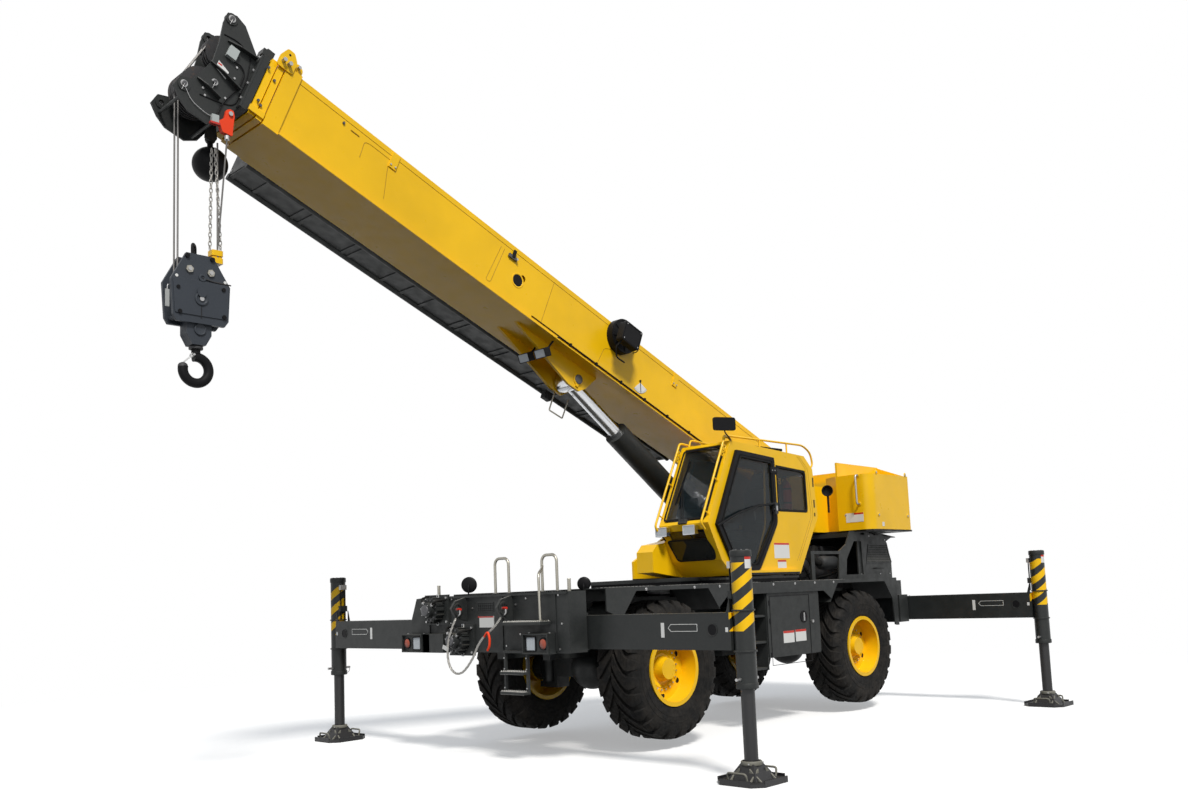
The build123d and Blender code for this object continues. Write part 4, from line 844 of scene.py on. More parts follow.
def float_details(corner):
    """Ribs, lifting bows and collar of one float."""
    p = JACKS[corner]
    piece = Piece("float_details_" + corner, "jack_" + corner, "dark_paint", bevel=0.002)
    for s in (-1, 1):
        a = p + Vector((s * 0.205, -0.10, 0.030))
        piece.tube([a, a + Vector((s * 0.02, 0, 0.075)), a + Vector((s * 0.02, 0.20, 0.075)),
                    a + Vector((0, 0.20, 0))],
                   0.010, "float_paint", 0.03, 10)
        for t in (-1, 1):
            piece.prism([(0.0, 0.0), (0.125, 0.0), (0.0, 0.10)],
                        p + Vector((s * 0.055, t * 0.105, 0.031)) - Y * 0.008, (X * s, Z, Y), 0.016,
                        "float_paint")
            piece.prism([(0.0, 0.0), (0.125, 0.0), (0.0, 0.10)],
                        p + Vector((t * 0.105, s * 0.055, 0.031)) + X * 0.008, (Y * s, Z, -X), 0.016,
                        "float_paint")
    piece.turned(p, Z, [(0.150, 0.080), (0.150, 0.0945), (0.178, 0.0945), (0.186, 0.088), (0.186, 0.080)],
                 "float_paint", 36, closed=True)
    for k in range(3):
        a = 2 * math.pi * k / 3 + 0.4
        d = Vector((math.cos(a), math.sin(a), 0))
        piece.bar(p + Z * 0.167 + d * 0.090, p + Z * 0.167 + d * 0.108, 0.008, "steel", 6)
    piece.done()


# ---- the carrier's nose -----------------------------------------------------------------------
FACE_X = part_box("front_fittings")[0].x


def nose_hubs():
    """Ribs, bolts and hose stubs on the two drum housings of the nose."""
    piece = Piece("nose_hubs", "carrier", "grey_paint")
    for y, z in ((-0.850, 1.570), (-0.420, 1.240)):
        c = Vector((FACE_X, y, z))
        for dy in (-0.18, 0.18):
            for dz in (-0.13, 0.13):
                q = c + Vector((0.025, dy, dz))
                piece.bar(q, q + X * 0.012, 0.014, "steel", 6)
        piece.ring_of(c + X * 0.120, X, 0.112, 12, "dark_steel", 0.011, 0.010)
        for k in range(16):
            a = 2 * math.pi * k / 16
            d = Vector((0, math.cos(a), math.sin(a)))
            piece.block(c + X * 0.072 + d * 0.136, (0.046, 0.0075, 0.010), (X, Vector((0, -d.z, d.y)), d),
                        "charcoal")
        piece.turned(c, X, [(0.178, 0.062), (0.196, 0.058), (0.203, 0.040), (0.203, 0.0)], "dark_steel", 28)
        piece.ring_of(c + X * 0.180, X, 0.074, 6, "steel", 0.007, 0.007)
        for a in (0.6, 2.3):
            d = Vector((0, math.cos(a), math.sin(a)))
            q = c + X * 0.150 + d * 0.080
            piece.tube([q, q + d * 0.09, q + d * 0.12 - X * 0.12], 0.013, "rubber", 0.05, 10)
            piece.bar(q, q + d * 0.035, 0.019, "steel", 6)
        for dy, dz in ((0.03, 0.150), (0.02, -0.150)):
            q = c + Vector((0.0255, dy, dz))
            piece.box(q + Vector((0, -0.022, -0.022)), q + Vector((0.002, 0.022, 0.022)), "plate")
            piece.bar(q + X * 0.002, q + X * 0.004, 0.010, "black", 16)
    piece.done()


def nose_lamps():
    """Lamps let into the two boxes: a square headlamp inside, a round amber lamp outside."""
    piece = Piece("nose_lamps", "carrier", "grey_paint")
    x = FACE_X + 0.090
    out = 0.358                                         # the right pair sits further out than the left
    for s in (1, -1):
        for y, wide, kind in ((0.775, 0.075, "clear"), (0.955, 0.062, "amber")):
            c = Vector((x, s * y - (out if s < 0 else 0.0), 1.207))
            if kind == "clear":
                outline = rounded_box(wide, 0.075, 0.02)
                piece.frame(outline, 0.012, c, (Y, Z, X), 0.010, "black")
                piece.prism(shrunk(outline, 0.011), c, (Y, Z, X), 0.006, "clear")
                for k in range(-2, 3):
                    piece.block(c + Vector((0.0065, k * 0.025, 0)), (0.001, 0.0012, 0.060), (X, Y, Z),
                                "steel")
            else:
                piece.turned(c, X, [(0.0, wide), (0.012, wide), (0.012, wide - 0.010), (0.004, wide - 0.012)],
                             "black", 36, closed=True)
                piece.turned(c, X, [(0.0, wide - 0.010), (0.008, wide - 0.012), (0.016, 0.030), (0.018, 0.0)],
                             "amber", 36)
        outline = [(-0.186, -0.100), (0.186, -0.100), (0.186, 0.100), (-0.186, 0.100)]
        mid = s * 0.85 - (out if s < 0 else 0.0)
        piece.frame(outline, 0.012, Vector((x, mid, 1.2075)), (Y, Z, X), 0.026, "charcoal")
        for dy in (-0.15, 0.15):
            q = Vector((x - 0.045, mid + dy, 1.3065))
            piece.bar(q, q + Z * 0.010, 0.010, "steel", 6)
    mid = -0.85 - out
    back = NOSE_X + 0.003
    outline = [(-0.186, -0.099), (0.300, -0.099), (0.300, 0.099), (-0.186, 0.099)]
    piece.prism(outline, Vector((back, mid, 1.2075)), (Y, Z, X), x - back, "charcoal")
    edge = [(-1.00, 1.715), (-1.235, 1.700), (-1.330, 1.480), (-1.330, 1.300), (-1.00, 1.300)]
    piece.prism(edge, Vector((NOSE_X + 0.001, 0, 0)), (Y, Z, X), 0.012, "charcoal")
    piece.done()


def nose_plates():
    """Grille with painted shade behind its bars, bare plate, stiffening strips, bolts and lug bosses on the
    nose's face.
    """
    piece = Piece("nose_plates", "carrier", "grey_paint", bevel=0.002)
    x = FACE_X
    outline = [(-0.156, 1.530), (0.104, 1.530), (0.104, 1.636), (-0.156, 1.636)]
    piece.frame(outline, 0.010, Vector((x, 0, 0)), (Y, Z, X), 0.006, "charcoal")
    # black sheet behind the grille's bars: painted shade for its openings
    piece.box((x, -0.150, 1.534), (x + 0.001, 0.100, 1.632), "black")
    for k in range(1, 8):
        y = -0.156 + k * 0.0325
        piece.box((x, y - 0.005, 1.535), (x + 0.005, y + 0.005, 1.632), "charcoal")
    for z in (1.556, 1.583, 1.610):
        piece.box((x, -0.152, z - 0.004), (x + 0.0045, 0.100, z + 0.004), "charcoal")
    piece.box((x, -0.135, 1.370), (x + 0.003, 0.105, 1.490), "plate")
    piece.frame([(-0.135, 1.370), (0.105, 1.370), (0.105, 1.490), (-0.135, 1.490)], 0.005,
                Vector((x + 0.003, 0, 0)), (Y, Z, X), 0.001, "steel")
    piece.box((x, -0.155, 1.474), (x + 0.004, 0.100, 1.490), "red")
    for y, z in ((-0.245, 1.575), (0.455, 1.600), (0.52, 1.30), (1.10, 1.68), (1.10, 1.15), (1.14, 1.40),
                 (-0.60, 1.68), (-1.12, 1.62), (-0.62, 1.42), (0.62, 1.66), (0.30, 1.18)):
        q = Vector((x, y, z))
        piece.bar(q, q + X * 0.008, 0.011, "steel", 6)
    for y in (0.245, 1.052, -1.060):
        piece.box((x, y - 0.006, 1.13), (x + 0.010, y + 0.006, 1.69), "charcoal")
    piece.box((x, -1.0, 1.690), (x + 0.016, 1.225, 1.712), "charcoal")
    # lug bosses
    for y in (-0.360, 0.390):
        c = Vector((x + 0.120, y, 1.570))
        for s in (-1, 1):
            piece.turned(c + Y * s * 0.017, Y * s,
                         [(0.0, 0.043), (0.0, 0.068), (0.010, 0.066), (0.010, 0.043)], "charcoal", 32,
                         closed=True)
    piece.done()


def nose_steps():
    """Toothed treads on the step and the ladder, and the ladder's bolts."""
    piece = Piece("nose_steps", "carrier", "steel", bevel=0.001)
    x = FACE_X
    rows = ((0.405, 0.975, x + 0.006, x + 0.146, 1.425), (0.302, 0.662, x + 0.024, x + 0.108, 0.725),
            (0.302, 0.662, x + 0.024, x + 0.108, 0.925))
    for y0, y1, x0, x1, z in rows:
        piece.box((x0, y0, z), (x1, y1, z + 0.003), "grip")
        n = int((y1 - y0) / 0.030)
        for k in range(n):
            y = y0 + (k + 0.5) * (y1 - y0) / n
            for xx in (x0 + 0.010, (x0 + x1) / 2, x1 - 0.010):
                piece.bar(Vector((xx, y, z + 0.003)), Vector((xx, y, z + 0.013)), 0.008, "grip", 8, 0.004)
        piece.box((x1 - 0.003, y0, z - 0.028), (x1, y1, z + 0.001), "grip")
    for y in (0.312, 0.652):
        for z in (0.76, 0.95, 1.06):
            piece.bar(Vector((x + 0.050, y, z)), Vector((x + 0.058, y, z)), 0.008, "steel", 6)
    piece.done()


def nose_mirrors():
    """Two round convex mirrors, marker posts and the handrails' foot plates."""
    piece = Piece("nose_mirrors", "carrier", "dark_paint", bevel=0.001)
    for x, y, z, r in ((5.30, -0.467, 1.830, 0.088), (4.90, 0.922, 1.785, 0.072)):
        c = M(x, y, z)
        d = Vector((-0.80, -0.58, 0.08)).normalized()
        piece.turned(c, d, [(-0.012, 0.0), (-0.012, r * 0.8), (0.0, r), (0.012, r), (0.014, r - 0.006)],
                     "black", 40)
        piece.turned(c, d, [(0.0125, r - 0.006), (0.024, r * 0.6), (0.030, 0.0)], "mirror", 40)
        piece.tube([c - d * 0.01, c - d * 0.03 - Z * 0.02, c - d * 0.03 - Z * (z - 1.715)], 0.008, "black",
                   0.02, 8)
    for x, y in ((5.315, -0.990), (5.315, 1.130)):
        c = M(x, y, 1.72)
        piece.turned(c, Z, [(0.106, 0.018), (0.112, 0.020), (0.120, 0.018), (0.122, 0.0)], "zinc", 20)
    leg = [M(5.315, 0.745, 1.985), M(5.335, 0.765, 1.960), Vector((FACE_X + 0.060, 0.880, 1.900)),
           Vector((FACE_X + 0.070, 0.900, 1.440))]
    piece.tube(leg, 0.014, "zinc", 0.06, 12)
    piece.box((FACE_X + 0.03, 0.865, 1.430), (FACE_X + 0.11, 0.965, 1.440), "zinc")
    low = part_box("handrails")[0].z
    for y in (0.0, 0.22, 0.74, 0.96):
        c = M(5.315, y, low)
        piece.box(c + Vector((-0.035, -0.03, 0)), c + Vector((0.035, 0.03, 0.008)), "charcoal")
        piece.ring_of(c + Z * 0.008, Z, 0.024, 4, "steel", 0.005, 0.004)
    piece.done()


def nose_sling():
    """Braided sling hung through both tow lugs, with its tag and orange catch."""
    piece = Piece("nose_sling", "carrier", "steel", bevel=0)
    x = FACE_X + 0.12
    # column names: out from the nose, across, up
    route = ((0.0, -0.352, 1.512), (0.03, -0.36, 1.46), (0.06, -0.385, 1.37), (0.085, -0.415, 1.24),
             (0.095, -0.425, 1.12), (0.095, -0.405, 1.00), (0.095, -0.345, 0.925), (0.095, -0.265, 0.895),
             (0.095, -0.170, 0.915), (0.095, -0.075, 0.985), (0.09, 0.01, 1.08), (0.085, 0.075, 1.19),
             (0.08, 0.155, 1.275), (0.07, 0.25, 1.335), (0.05, 0.335, 1.40), (0.02, 0.375, 1.47),
             (0.0, 0.390, 1.512))
    points = [Vector((x + a, b, c)) for a, b, c in route]
    rope = rounded(points, 0.2, 4)
    for k in range(3):
        strand = []
        for i, p in enumerate(rope):
            ahead = (rope[min(i + 1, len(rope) - 1)] - rope[max(i - 1, 0)]).normalized()
            side = ahead.cross(X).normalized()
            up = ahead.cross(side)
            a = i * 0.9 + 2 * math.pi * k / 3
            strand.append(p + side * math.cos(a) * 0.006 + up * math.sin(a) * 0.006)
        piece.tube(strand, 0.0072, "sling", 0.001, 8)
    for y in (-0.360, 0.390):
        c = Vector((x, y, 1.570))
        piece.tube([c + Vector((0, -0.045, -0.005)), c + Vector((0, -0.048, -0.05)),
                    c + Vector((0, 0.008, -0.072)), c + Vector((0, 0.050, -0.05)),
                    c + Vector((0, 0.047, -0.005))], 0.011, "steel", 0.03, 10)
        piece.bar(c + Vector((0, -0.058, 0)), c + Vector((0, 0.062, 0)), 0.013, "red", 12)
    tag = Vector((x + 0.098, -0.452, 1.165))
    piece.block(tag, (0.0015, 0.050, 0.022), (X, Vector((0, 0.93, -0.36)), Vector((0, 0.36, 0.93))), "plate")
    catch = Vector((x + 0.095, 0.20, 1.285))
    piece.tube([catch, catch + Vector((0, 0.055, 0.055)), catch + Vector((0, 0.085, -0.02)),
                catch + Vector((0, 0.075, -0.10)), catch + Vector((0, 0.045, -0.14))], 0.013, "orange", 0.05,
                10)
    piece.done()


# ---- cab --------------------------------------------------------------------------------------
# column names: forward from the rear axle, up
DOOR_SIDE = ((2.24, 1.88), (2.70, 1.88), (3.02, 2.42), (2.57, 3.31), (1.82, 3.26), (1.82, 2.45))
DOOR_GLASS = ((2.30, 1.945), (2.66, 1.945), (2.946, 2.425), (2.527, 3.242), (1.885, 3.20), (1.885, 2.475))
SIDE_WINDOW = ((1.08, 2.60), (1.74, 2.60), (1.74, 3.18), (1.09, 3.14))
FRONT_LEAN = Vector((-0.50, 0, 0.98)).normalized()
FRONT_OUT = Vector((0.98, 0, 0.50)).normalized()


def cab_trim():
    """Guard rails, lamps, wiper, seals, roof rail, hatch, mirror and seams of the cab."""
    piece = Piece("cab_trim", "superstructure", "yellow_paint")
    foot, head = M(3.14, 0, 2.44), M(2.64, 0, 3.42)
    for y, back in ((0.475, 0.30), (1.170, 0.06)):
        away = FRONT_OUT * 0.085
        rail = [head + Y * y + Vector((-back, 0, 0.010)), head + Y * y + Vector((0.02, 0, 0.045)),
                head + Y * y + away, foot + Y * y + away + FRONT_LEAN * 0.04,
                foot + Y * y + away - FRONT_LEAN * 0.05, foot + Y * y - FRONT_LEAN * 0.09 - X * 0.01]
        piece.tube(rail, 0.014, "yellow", 0.06, 12)
        for t in (0.10, 0.50, 0.86):
            p = foot + (head - foot) * t + Y * y
            piece.bar(p, p + away, 0.009, "yellow", 10)
        for k in range(3):
            p = foot + (head - foot) * (0.90 - k * 0.045) + Y * y + FRONT_OUT * 0.045
            piece.turned(p, Y, [(-0.004, 0.014), (-0.004, 0.026), (0.004, 0.026), (0.004, 0.014)], "yellow",
                         20, closed=True)
    for y in (0.530, 0.955):
        c = foot + Y * y + Vector((0.035, 0, -0.075))
        outline = rounded_box(0.088, 0.055, 0.012)
        piece.prism(outline, c - X * 0.040, (Y, Z, X), 0.062, "chrome")
        piece.frame(outline, 0.007, c + X * 0.022, (Y, Z, X), 0.008, "chrome")
        piece.prism(shrunk(outline, 0.007), c + X * 0.022, (Y, Z, X), 0.004, "clear")
        for k in range(-4, 5):
            piece.block(c + X * 0.0265 + Y * k * 0.017, (0.0006, 0.001, 0.046), (X, Y, Z), "steel")
        piece.bar(c - Z * 0.05, c - Z * 0.100 - X * 0.05, 0.009, "black", 10)
    # wiper: motor cover, two arms and the blade
    c = foot + Y * 0.82 + FRONT_LEAN * 0.03 + FRONT_OUT * 0.012
    tip = foot + Y * 0.66 + FRONT_LEAN * 0.56 + FRONT_OUT * 0.030
    piece.block(c, (0.030, 0.060, 0.014), (FRONT_LEAN, Y, FRONT_OUT), "plastic")
    for dy in (-0.018, 0.018):
        piece.bar(c + Y * dy + FRONT_OUT * 0.014, tip + Y * dy * 0.4 + FRONT_OUT * 0.004, 0.0045, "black", 8)
    blade = (FRONT_LEAN * 0.97 + Y * 0.06).normalized()
    piece.block(tip, (0.300, 0.006, 0.005), (blade, Y, FRONT_OUT), "black")
    piece.block(tip - FRONT_OUT * 0.010, (0.300, 0.0015, 0.008), (blade, Y, FRONT_OUT), "rubber")
    # windscreen seal
    low, high = 0.055, 1.045
    outline = round_corners([(low, 0.500), (high, 0.500), (high, 1.145), (low, 1.145)], 0.05)
    piece.frame(outline, 0.022, foot + FRONT_OUT * 0.001, (FRONT_LEAN, Y, FRONT_OUT), 0.006, "rubber")
    # lower window: black border with rounded corners over dark glass
    toe = M(2.92, 0, 2.01)
    slope = (foot - toe).normalized()
    face_out = Vector((slope.z, 0, -slope.x))
    length = (foot - toe).length
    outline = round_corners([(0.005, 0.545), (length - 0.19, 0.490), (length - 0.19, 1.090), (0.120, 1.150),
                             (0.005, 1.120)], 0.05)
    piece.prism(outline, toe + face_out * 0.001, (slope, Y, face_out), 0.005, "dark_glass")
    piece.frame(outline, 0.020, toe + face_out * 0.004, (slope, Y, face_out), 0.005, "rubber")
    # roof rail: goes up at the front, runs back and bends down at the rear
    y = 1.120
    rail = [M(2.68, y, 3.415), M(2.66, y, 3.490), M(1.00, y, 3.487), M(0.83, y, 3.400), M(0.79, y, 3.24),
            M(0.88, y, 3.18)]
    piece.tube(rail, 0.013, "yellow", 0.12, 12)
    for x, z in ((1.95, 3.385), (1.37, 3.35)):
        piece.bar(M(x, y, z), M(x, y, 3.487), 0.011, "yellow", 10)
        piece.box(M(x - 0.03, y - 0.022, z - 0.004), M(x + 0.03, y + 0.022, z + 0.006), "yellow")
    rail = [M(2.60, 0.53, 3.42), M(2.57, 0.53, 3.51), M(1.25, 0.53, 3.44), M(1.18, 0.53, 3.33)]
    piece.tube(rail, 0.012, "yellow", 0.08, 10)
    # roof hatch and its seal
    piece.frame([(1.36, 0.60), (2.28, 0.60), (2.28, 1.05), (1.36, 1.05)], 0.020, M(0, 0, 3.395), (X, Y, Z),
                0.030, "rubber")
    # double seam at the cab's rear edge, slots in the rear post drawn as thin black blocks of painted shade,
    # and two blank plates
    for off in (0.075, 0.120):
        seam = [M(1.14 + off, 1.1955, 3.322), M(0.955 + off, 1.1955, 3.165), M(0.89 + off, 1.1955, 2.555),
                M(1.26 + off, 1.1955, 1.99)]
        piece.tube(seam, 0.0022, "seam", 0.05, 6)
    # slots: thin black blocks, painted shade
    for z, tall in ((3.00, 0.12), (2.72, 0.10), (2.58, 0.045)):
        piece.block(M(0.925, 1.1955, z), (0.013, 0.0012, tall / 2), (X, Y, Z), "black")
    for x0, x1, z0, z1 in ((1.55, 1.87, 2.02, 2.21), (1.63, 1.81, 1.90, 2.00)):
        piece.box(M(x0, 1.195, z0), M(x1, 1.1972, z1), "plate")
        piece.box(M(x0, 1.1972, z1 - 0.024), M(x1, 1.1982, z1), "red")
    # mirror on its stalk at the roof's front corner
    piece.tube([M(2.60, 1.165, 3.40), M(2.66, 1.21, 3.44), M(2.79, 1.235, 3.50), M(2.79, 1.235, 3.57)], 0.008,
               "black", 0.03, 10)
    outline = rounded_box(0.145, 0.078, 0.03)
    look = Vector((0.42, 0.90, 0)).normalized()
    side = Z.cross(look)
    piece.prism(outline, M(2.79, 1.235, 3.60) - look * 0.016, (side, Z, look), 0.026, "black")
    piece.prism(shrunk(outline, 0.010), M(2.79, 1.235, 3.60) - look * 0.0185, (side, Z, look), 0.003,
                "mirror")
    # step edge below the door
    piece.box(M(1.36, 1.195, 1.826), M(2.72, 1.212, 1.850), "charcoal")
    piece.done()


def cab_side_window():
    """Black seal round the rear side window and the red extinguisher behind it."""
    piece = Piece("cab_side_window", "superstructure", "window_glass", bevel=0.002)
    outline = round_corners(SIDE_WINDOW, 0.06)
    piece.frame(outline, 0.030, M(0, 1.191, 0), (X, Z, Y), 0.007, "rubber")
    c = M(1.30, 1.03, 2.64)
    piece.turned(c, Z, [(0.0, 0.0), (0.0, 0.058), (0.03, 0.066), (0.30, 0.066), (0.36, 0.045), (0.39, 0.018),
                        (0.42, 0.018)],
                 "red", 28)
    piece.block(c + Z * 0.43, (0.035, 0.010, 0.012), (X, Y, Z), "black")
    piece.tube([c + Z * 0.41 + X * 0.03, c + Vector((0.085, 0, 0.40)), c + Vector((0.085, 0, 0.10))], 0.009,
               "rubber", 0.05, 8)
    for z in (0.08, 0.26):
        piece.turned(c + Z * z, Z, [(0.0, 0.066), (0.0, 0.070), (0.022, 0.070), (0.022, 0.066)], "black", 28,
                     closed=True)
    for y in (0.50, 1.17):
        piece.box(M(1.02, y - 0.02 if y > 1 else y, 2.56), M(1.05, y if y > 1 else y + 0.02, 3.20), "plastic")
    piece.done()


def cab_inside():
    """Seat cushions, rail behind the door, steering wheel, levers, display and pedals."""
    piece = Piece("cab_inside", "superstructure", "seat_cloth", bevel=0.006)
    seat = M(1.95, 0.82, 2.26)
    cushion = rounded_box(0.24, 0.23, 0.07)
    piece.prism(cushion, seat, (X, Y, Z), 0.09, "cloth")
    back = Vector((-0.20, 0, 0.98)).normalized()
    piece.prism(round_corners([(-0.02, -0.22), (0.58, -0.22), (0.58, 0.22), (-0.02, 0.22)], 0.08),
                seat + Vector((-0.235, 0, 0.08)), (back, Y, Vector((-0.98, 0, -0.20)).normalized()), 0.085,
                "cloth")
    piece.prism(round_corners([(0.62, -0.13), (0.80, -0.13), (0.80, 0.13), (0.62, 0.13)], 0.05),
                seat + Vector((-0.235, 0, 0.08)), (back, Y, Vector((-0.98, 0, -0.20)).normalized()), 0.060,
                "cloth")
    rail = [M(1.925, 1.186, 3.262), M(1.94, 1.165, 3.17), M(1.987, 1.165, 2.42), M(2.188, 1.165, 2.02),
            M(2.24, 1.186, 1.900)]
    piece.tube(rail, 0.013, "yellow", 0.06, 10)
    for y in (0.545, 1.095):
        piece.block(M(1.95, y, 2.47), (0.18, 0.040, 0.022), (X, Y, Z), "plastic")
        piece.bar(M(2.08, y, 2.49), M(2.10, y, 2.60), 0.009, "steel", 10)
        piece.turned(M(2.10, y, 2.60), Z, [(0.0, 0.010), (0.02, 0.022), (0.06, 0.020), (0.075, 0.0)], "black",
                     16)
    c = M(2.50, 0.82, 2.62)
    lean = Vector((-0.55, 0, 0.83)).normalized()
    ahead = lean.cross(Y).normalized()
    turns = [2 * math.pi * k / 32 for k in range(33)]
    ring = [c + Y * 0.19 * math.cos(a) + ahead * 0.19 * math.sin(a) for a in turns]
    piece.tube(ring, 0.014, "plastic", 0.01, 10)
    for k in range(3):
        a = 2 * math.pi * k / 3 + 0.5
        piece.bar(c, c + Y * 0.185 * math.cos(a) + ahead * 0.185 * math.sin(a), 0.010, "plastic", 8)
    piece.bar(c, c - lean * 0.32, 0.030, "plastic", 14)
    piece.block(M(2.62, 0.55, 2.72), (0.012, 0.09, 0.065), (X, Y, Z), "plastic")
    piece.block(M(2.607, 0.55, 2.72), (0.002, 0.08, 0.055), (X, Y, Z), "glass")
    for y in (0.75, 0.90):
        piece.block(M(2.72, y, 2.02), (0.055, 0.030, 0.006),
                    (Vector((0.8, 0, 0.6)), Y, Vector((-0.6, 0, 0.8))), "grip")
    piece.done()


def door_trim():
    """Black borders, curved bar, handle and hinges of the door."""
    piece = Piece("door_trim", "cab_door", "dark_paint")
    y = 1.234
    outline = round_corners(DOOR_SIDE, 0.05)
    piece.frame(outline, 0.050, M(0, y - 0.003, 0), (X, Z, Y), 0.010, "black")
    outline = round_corners(DOOR_GLASS, 0.04)
    piece.frame(outline, 0.016, M(0, y - 0.010, 0), (X, Z, Y), 0.020, "rubber")
    bar = [M(3.01, y + 0.004, 2.40), M(2.98, y + 0.022, 2.42), M(2.624, y + 0.024, 2.555),
           M(2.25, y + 0.024, 2.645), M(1.88, y + 0.018, 2.69), M(1.86, y, 2.69)]
    piece.tube(bar, 0.013, "black", 0.10, 12)
    piece.box(M(1.835, y + 0.004, 2.56), M(1.885, y + 0.030, 2.70), "plastic")
    piece.box(M(1.845, y + 0.030, 2.60), M(1.875, y + 0.036, 2.66), "steel")
    for z in (2.62, 3.10):
        piece.box(M(1.80, y - 0.008, z - 0.035), M(1.92, y + 0.011, z + 0.035), "black")
        piece.bar(M(1.795, y - 0.010, z - 0.05), M(1.795, y - 0.010, z + 0.05), 0.014, "black", 14)
        for x in (1.835, 1.885):
            piece.bar(M(x, y + 0.011, z), M(x, y + 0.018, z), 0.008, "steel", 6)
    piece.done()


# ---- upper structure --------------------------------------------------------------------------
def hood_details():
    """Side grilles with punched rows, lifting cap, scoop louvres, hinges and bolts; holes and louvre openings
    are black blocks of painted shade.
    """
    piece = Piece("hood_details", "carrier", "dark_paint", bevel=0.002)
    outline = ((-0.80, 1.955), (-0.89, 2.230), (-1.40, 2.235), (-1.52, 1.960))
    for s in (-1, 1):
        face = M(0, s * 0.881, 0)
        piece.frame(outline, 0.016, face if s > 0 else face - Y * 0.008, (X, Z, Y), 0.008, "charcoal")
        piece.prism(outline, face if s > 0 else face - Y * 0.002, (X, Z, Y), 0.002, "mesh_grey")
        # punched holes drawn as black blocks on the grey mesh: painted shade for the dark behind them
        for row in range(10):
            z = 1.977 + row * 0.025
            t = (z - 1.955) / 0.28
            x0, x1 = -0.825 - 0.085 * t, -1.497 + 0.118 * t
            n = 21
            for k in range(n):
                x = x0 + (x1 - x0) * (k + 0.5) / n
                piece.block(M(x, s * 0.8838, z), (0.0075, 0.0010, 0.0070), (X, Y, Z), "black")
        for x, z in ((-0.66, 2.30), (-0.66, 1.80), (-1.18, 1.80), (-1.36, 2.29), (-1.45, 1.80),
                     (-0.92, 2.34)):
            piece.bar(M(x, s * 0.880, z), M(x, s * 0.888, z), 0.010, "steel", 6)
        for x in (-0.72, -1.12):
            piece.box(M(x - 0.05, min(s * 0.79, s * 0.90), 2.355),
                      M(x + 0.05, max(s * 0.79, s * 0.90), 2.385), "black")
        piece.tube([M(-1.00, s * 0.884, 1.88), M(-1.00, s * 0.925, 1.88), M(-1.22, s * 0.925, 1.88),
                    M(-1.22, s * 0.884, 1.88)],
                   0.008, "black", 0.02, 8)
    cap = [(-0.995, 2.372), (-0.995, 2.392), (-1.306, 2.396), (-1.445, 2.252), (-1.430, 2.232),
           (-1.300, 2.372)]
    piece.prism(cap, M(0, -0.60, 0), (X, Z, Y), 1.20, "black")
    shelf = [(-1.30, 2.375), (-1.30, 2.387), (-1.72, 2.340), (-1.72, 2.328)]
    piece.prism(shelf, M(0, 0.20, 0), (X, Z, Y), 0.66, "charcoal")
    for y in (0.24, 0.82):
        piece.prism([(-1.30, 2.376), (-1.66, 2.335), (-1.42, 2.24)], M(0, y, 0), (X, Z, Y), 0.008, "charcoal")
    for k in range(9):
        y = -0.50 + k * 0.125
        # black blocks behind the louvre slats: painted shade in their openings
        piece.block(M(-1.8645, y, 2.2375), (0.006, 0.052, 0.045), (X, Y, Z), "black")
        for j in range(4):
            piece.block(M(-1.8700, y, 2.205 + j * 0.022), (0.0015, 0.050, 0.004),
                        (Vector((0.8, 0, 0.6)), Y, Vector((-0.6, 0, 0.8))), "charcoal")
    piece.done()


def engine_details():
    """What shows in the hood's open front: rocker covers, filter, hoses, silencer."""
    piece = Piece("engine_details", "carrier", "dark_paint", bevel=0.004)
    for k in range(4):
        x = -0.36 - k * 0.155
        piece.block(M(x, 0.0, 2.236), (0.060, 0.150, 0.012), (X, Y, Z), "cast")
        piece.ring_of(M(x, 0.0, 2.248), Z, 0.11, 6, "steel", 0.007, 0.006)
    y = 0.44
    piece.turned(M(-0.40, 0.52, 1.98), X,
                 [(-0.16, 0.0), (-0.16, 0.085), (-0.13, 0.095), (0.20, 0.095), (0.23, 0.06), (0.23, 0.0)],
                 "plastic", 32)
    piece.tube([M(-0.17, 0.52, 1.98), M(-0.10, 0.52, 1.98), M(-0.08, 0.46, 2.10), M(-0.20, 0.42, 2.20)],
               0.045, "rubber", 0.09, 14)
    piece.tube([M(-0.20, y, 1.72), M(-0.16, y + 0.05, 1.78), M(-0.16, y + 0.22, 1.80),
                M(-0.30, y + 0.30, 1.86)], 0.018, "rubber", 0.08, 10)
    piece.turned(M(-0.55, -0.56, 2.02), X,
                 [(-0.22, 0.0), (-0.22, 0.09), (-0.20, 0.10), (0.20, 0.10), (0.22, 0.09), (0.22, 0.0)],
                 "steel", 32)
    for y in (-0.30, -0.10, 0.12, 0.30):
        piece.tube([M(-0.245, y, 1.75), M(-0.20, y, 1.80), M(-0.20, y * 0.6, 2.05), M(-0.245, y * 0.6, 2.12)],
                   0.011, "rubber", 0.05, 8)
    piece.turned(M(-0.255, 0.18, 1.92), X,
                 [(0.0, 0.13), (0.02, 0.13), (0.03, 0.11), (0.03, 0.05), (0.05, 0.045), (0.05, 0.0)],
                 "dark_steel", 36)
    piece.turned(M(-0.255, -0.16, 1.86), X,
                 [(0.0, 0.10), (0.02, 0.10), (0.03, 0.085), (0.045, 0.03), (0.045, 0.0)], "dark_steel", 32)
    piece.done()


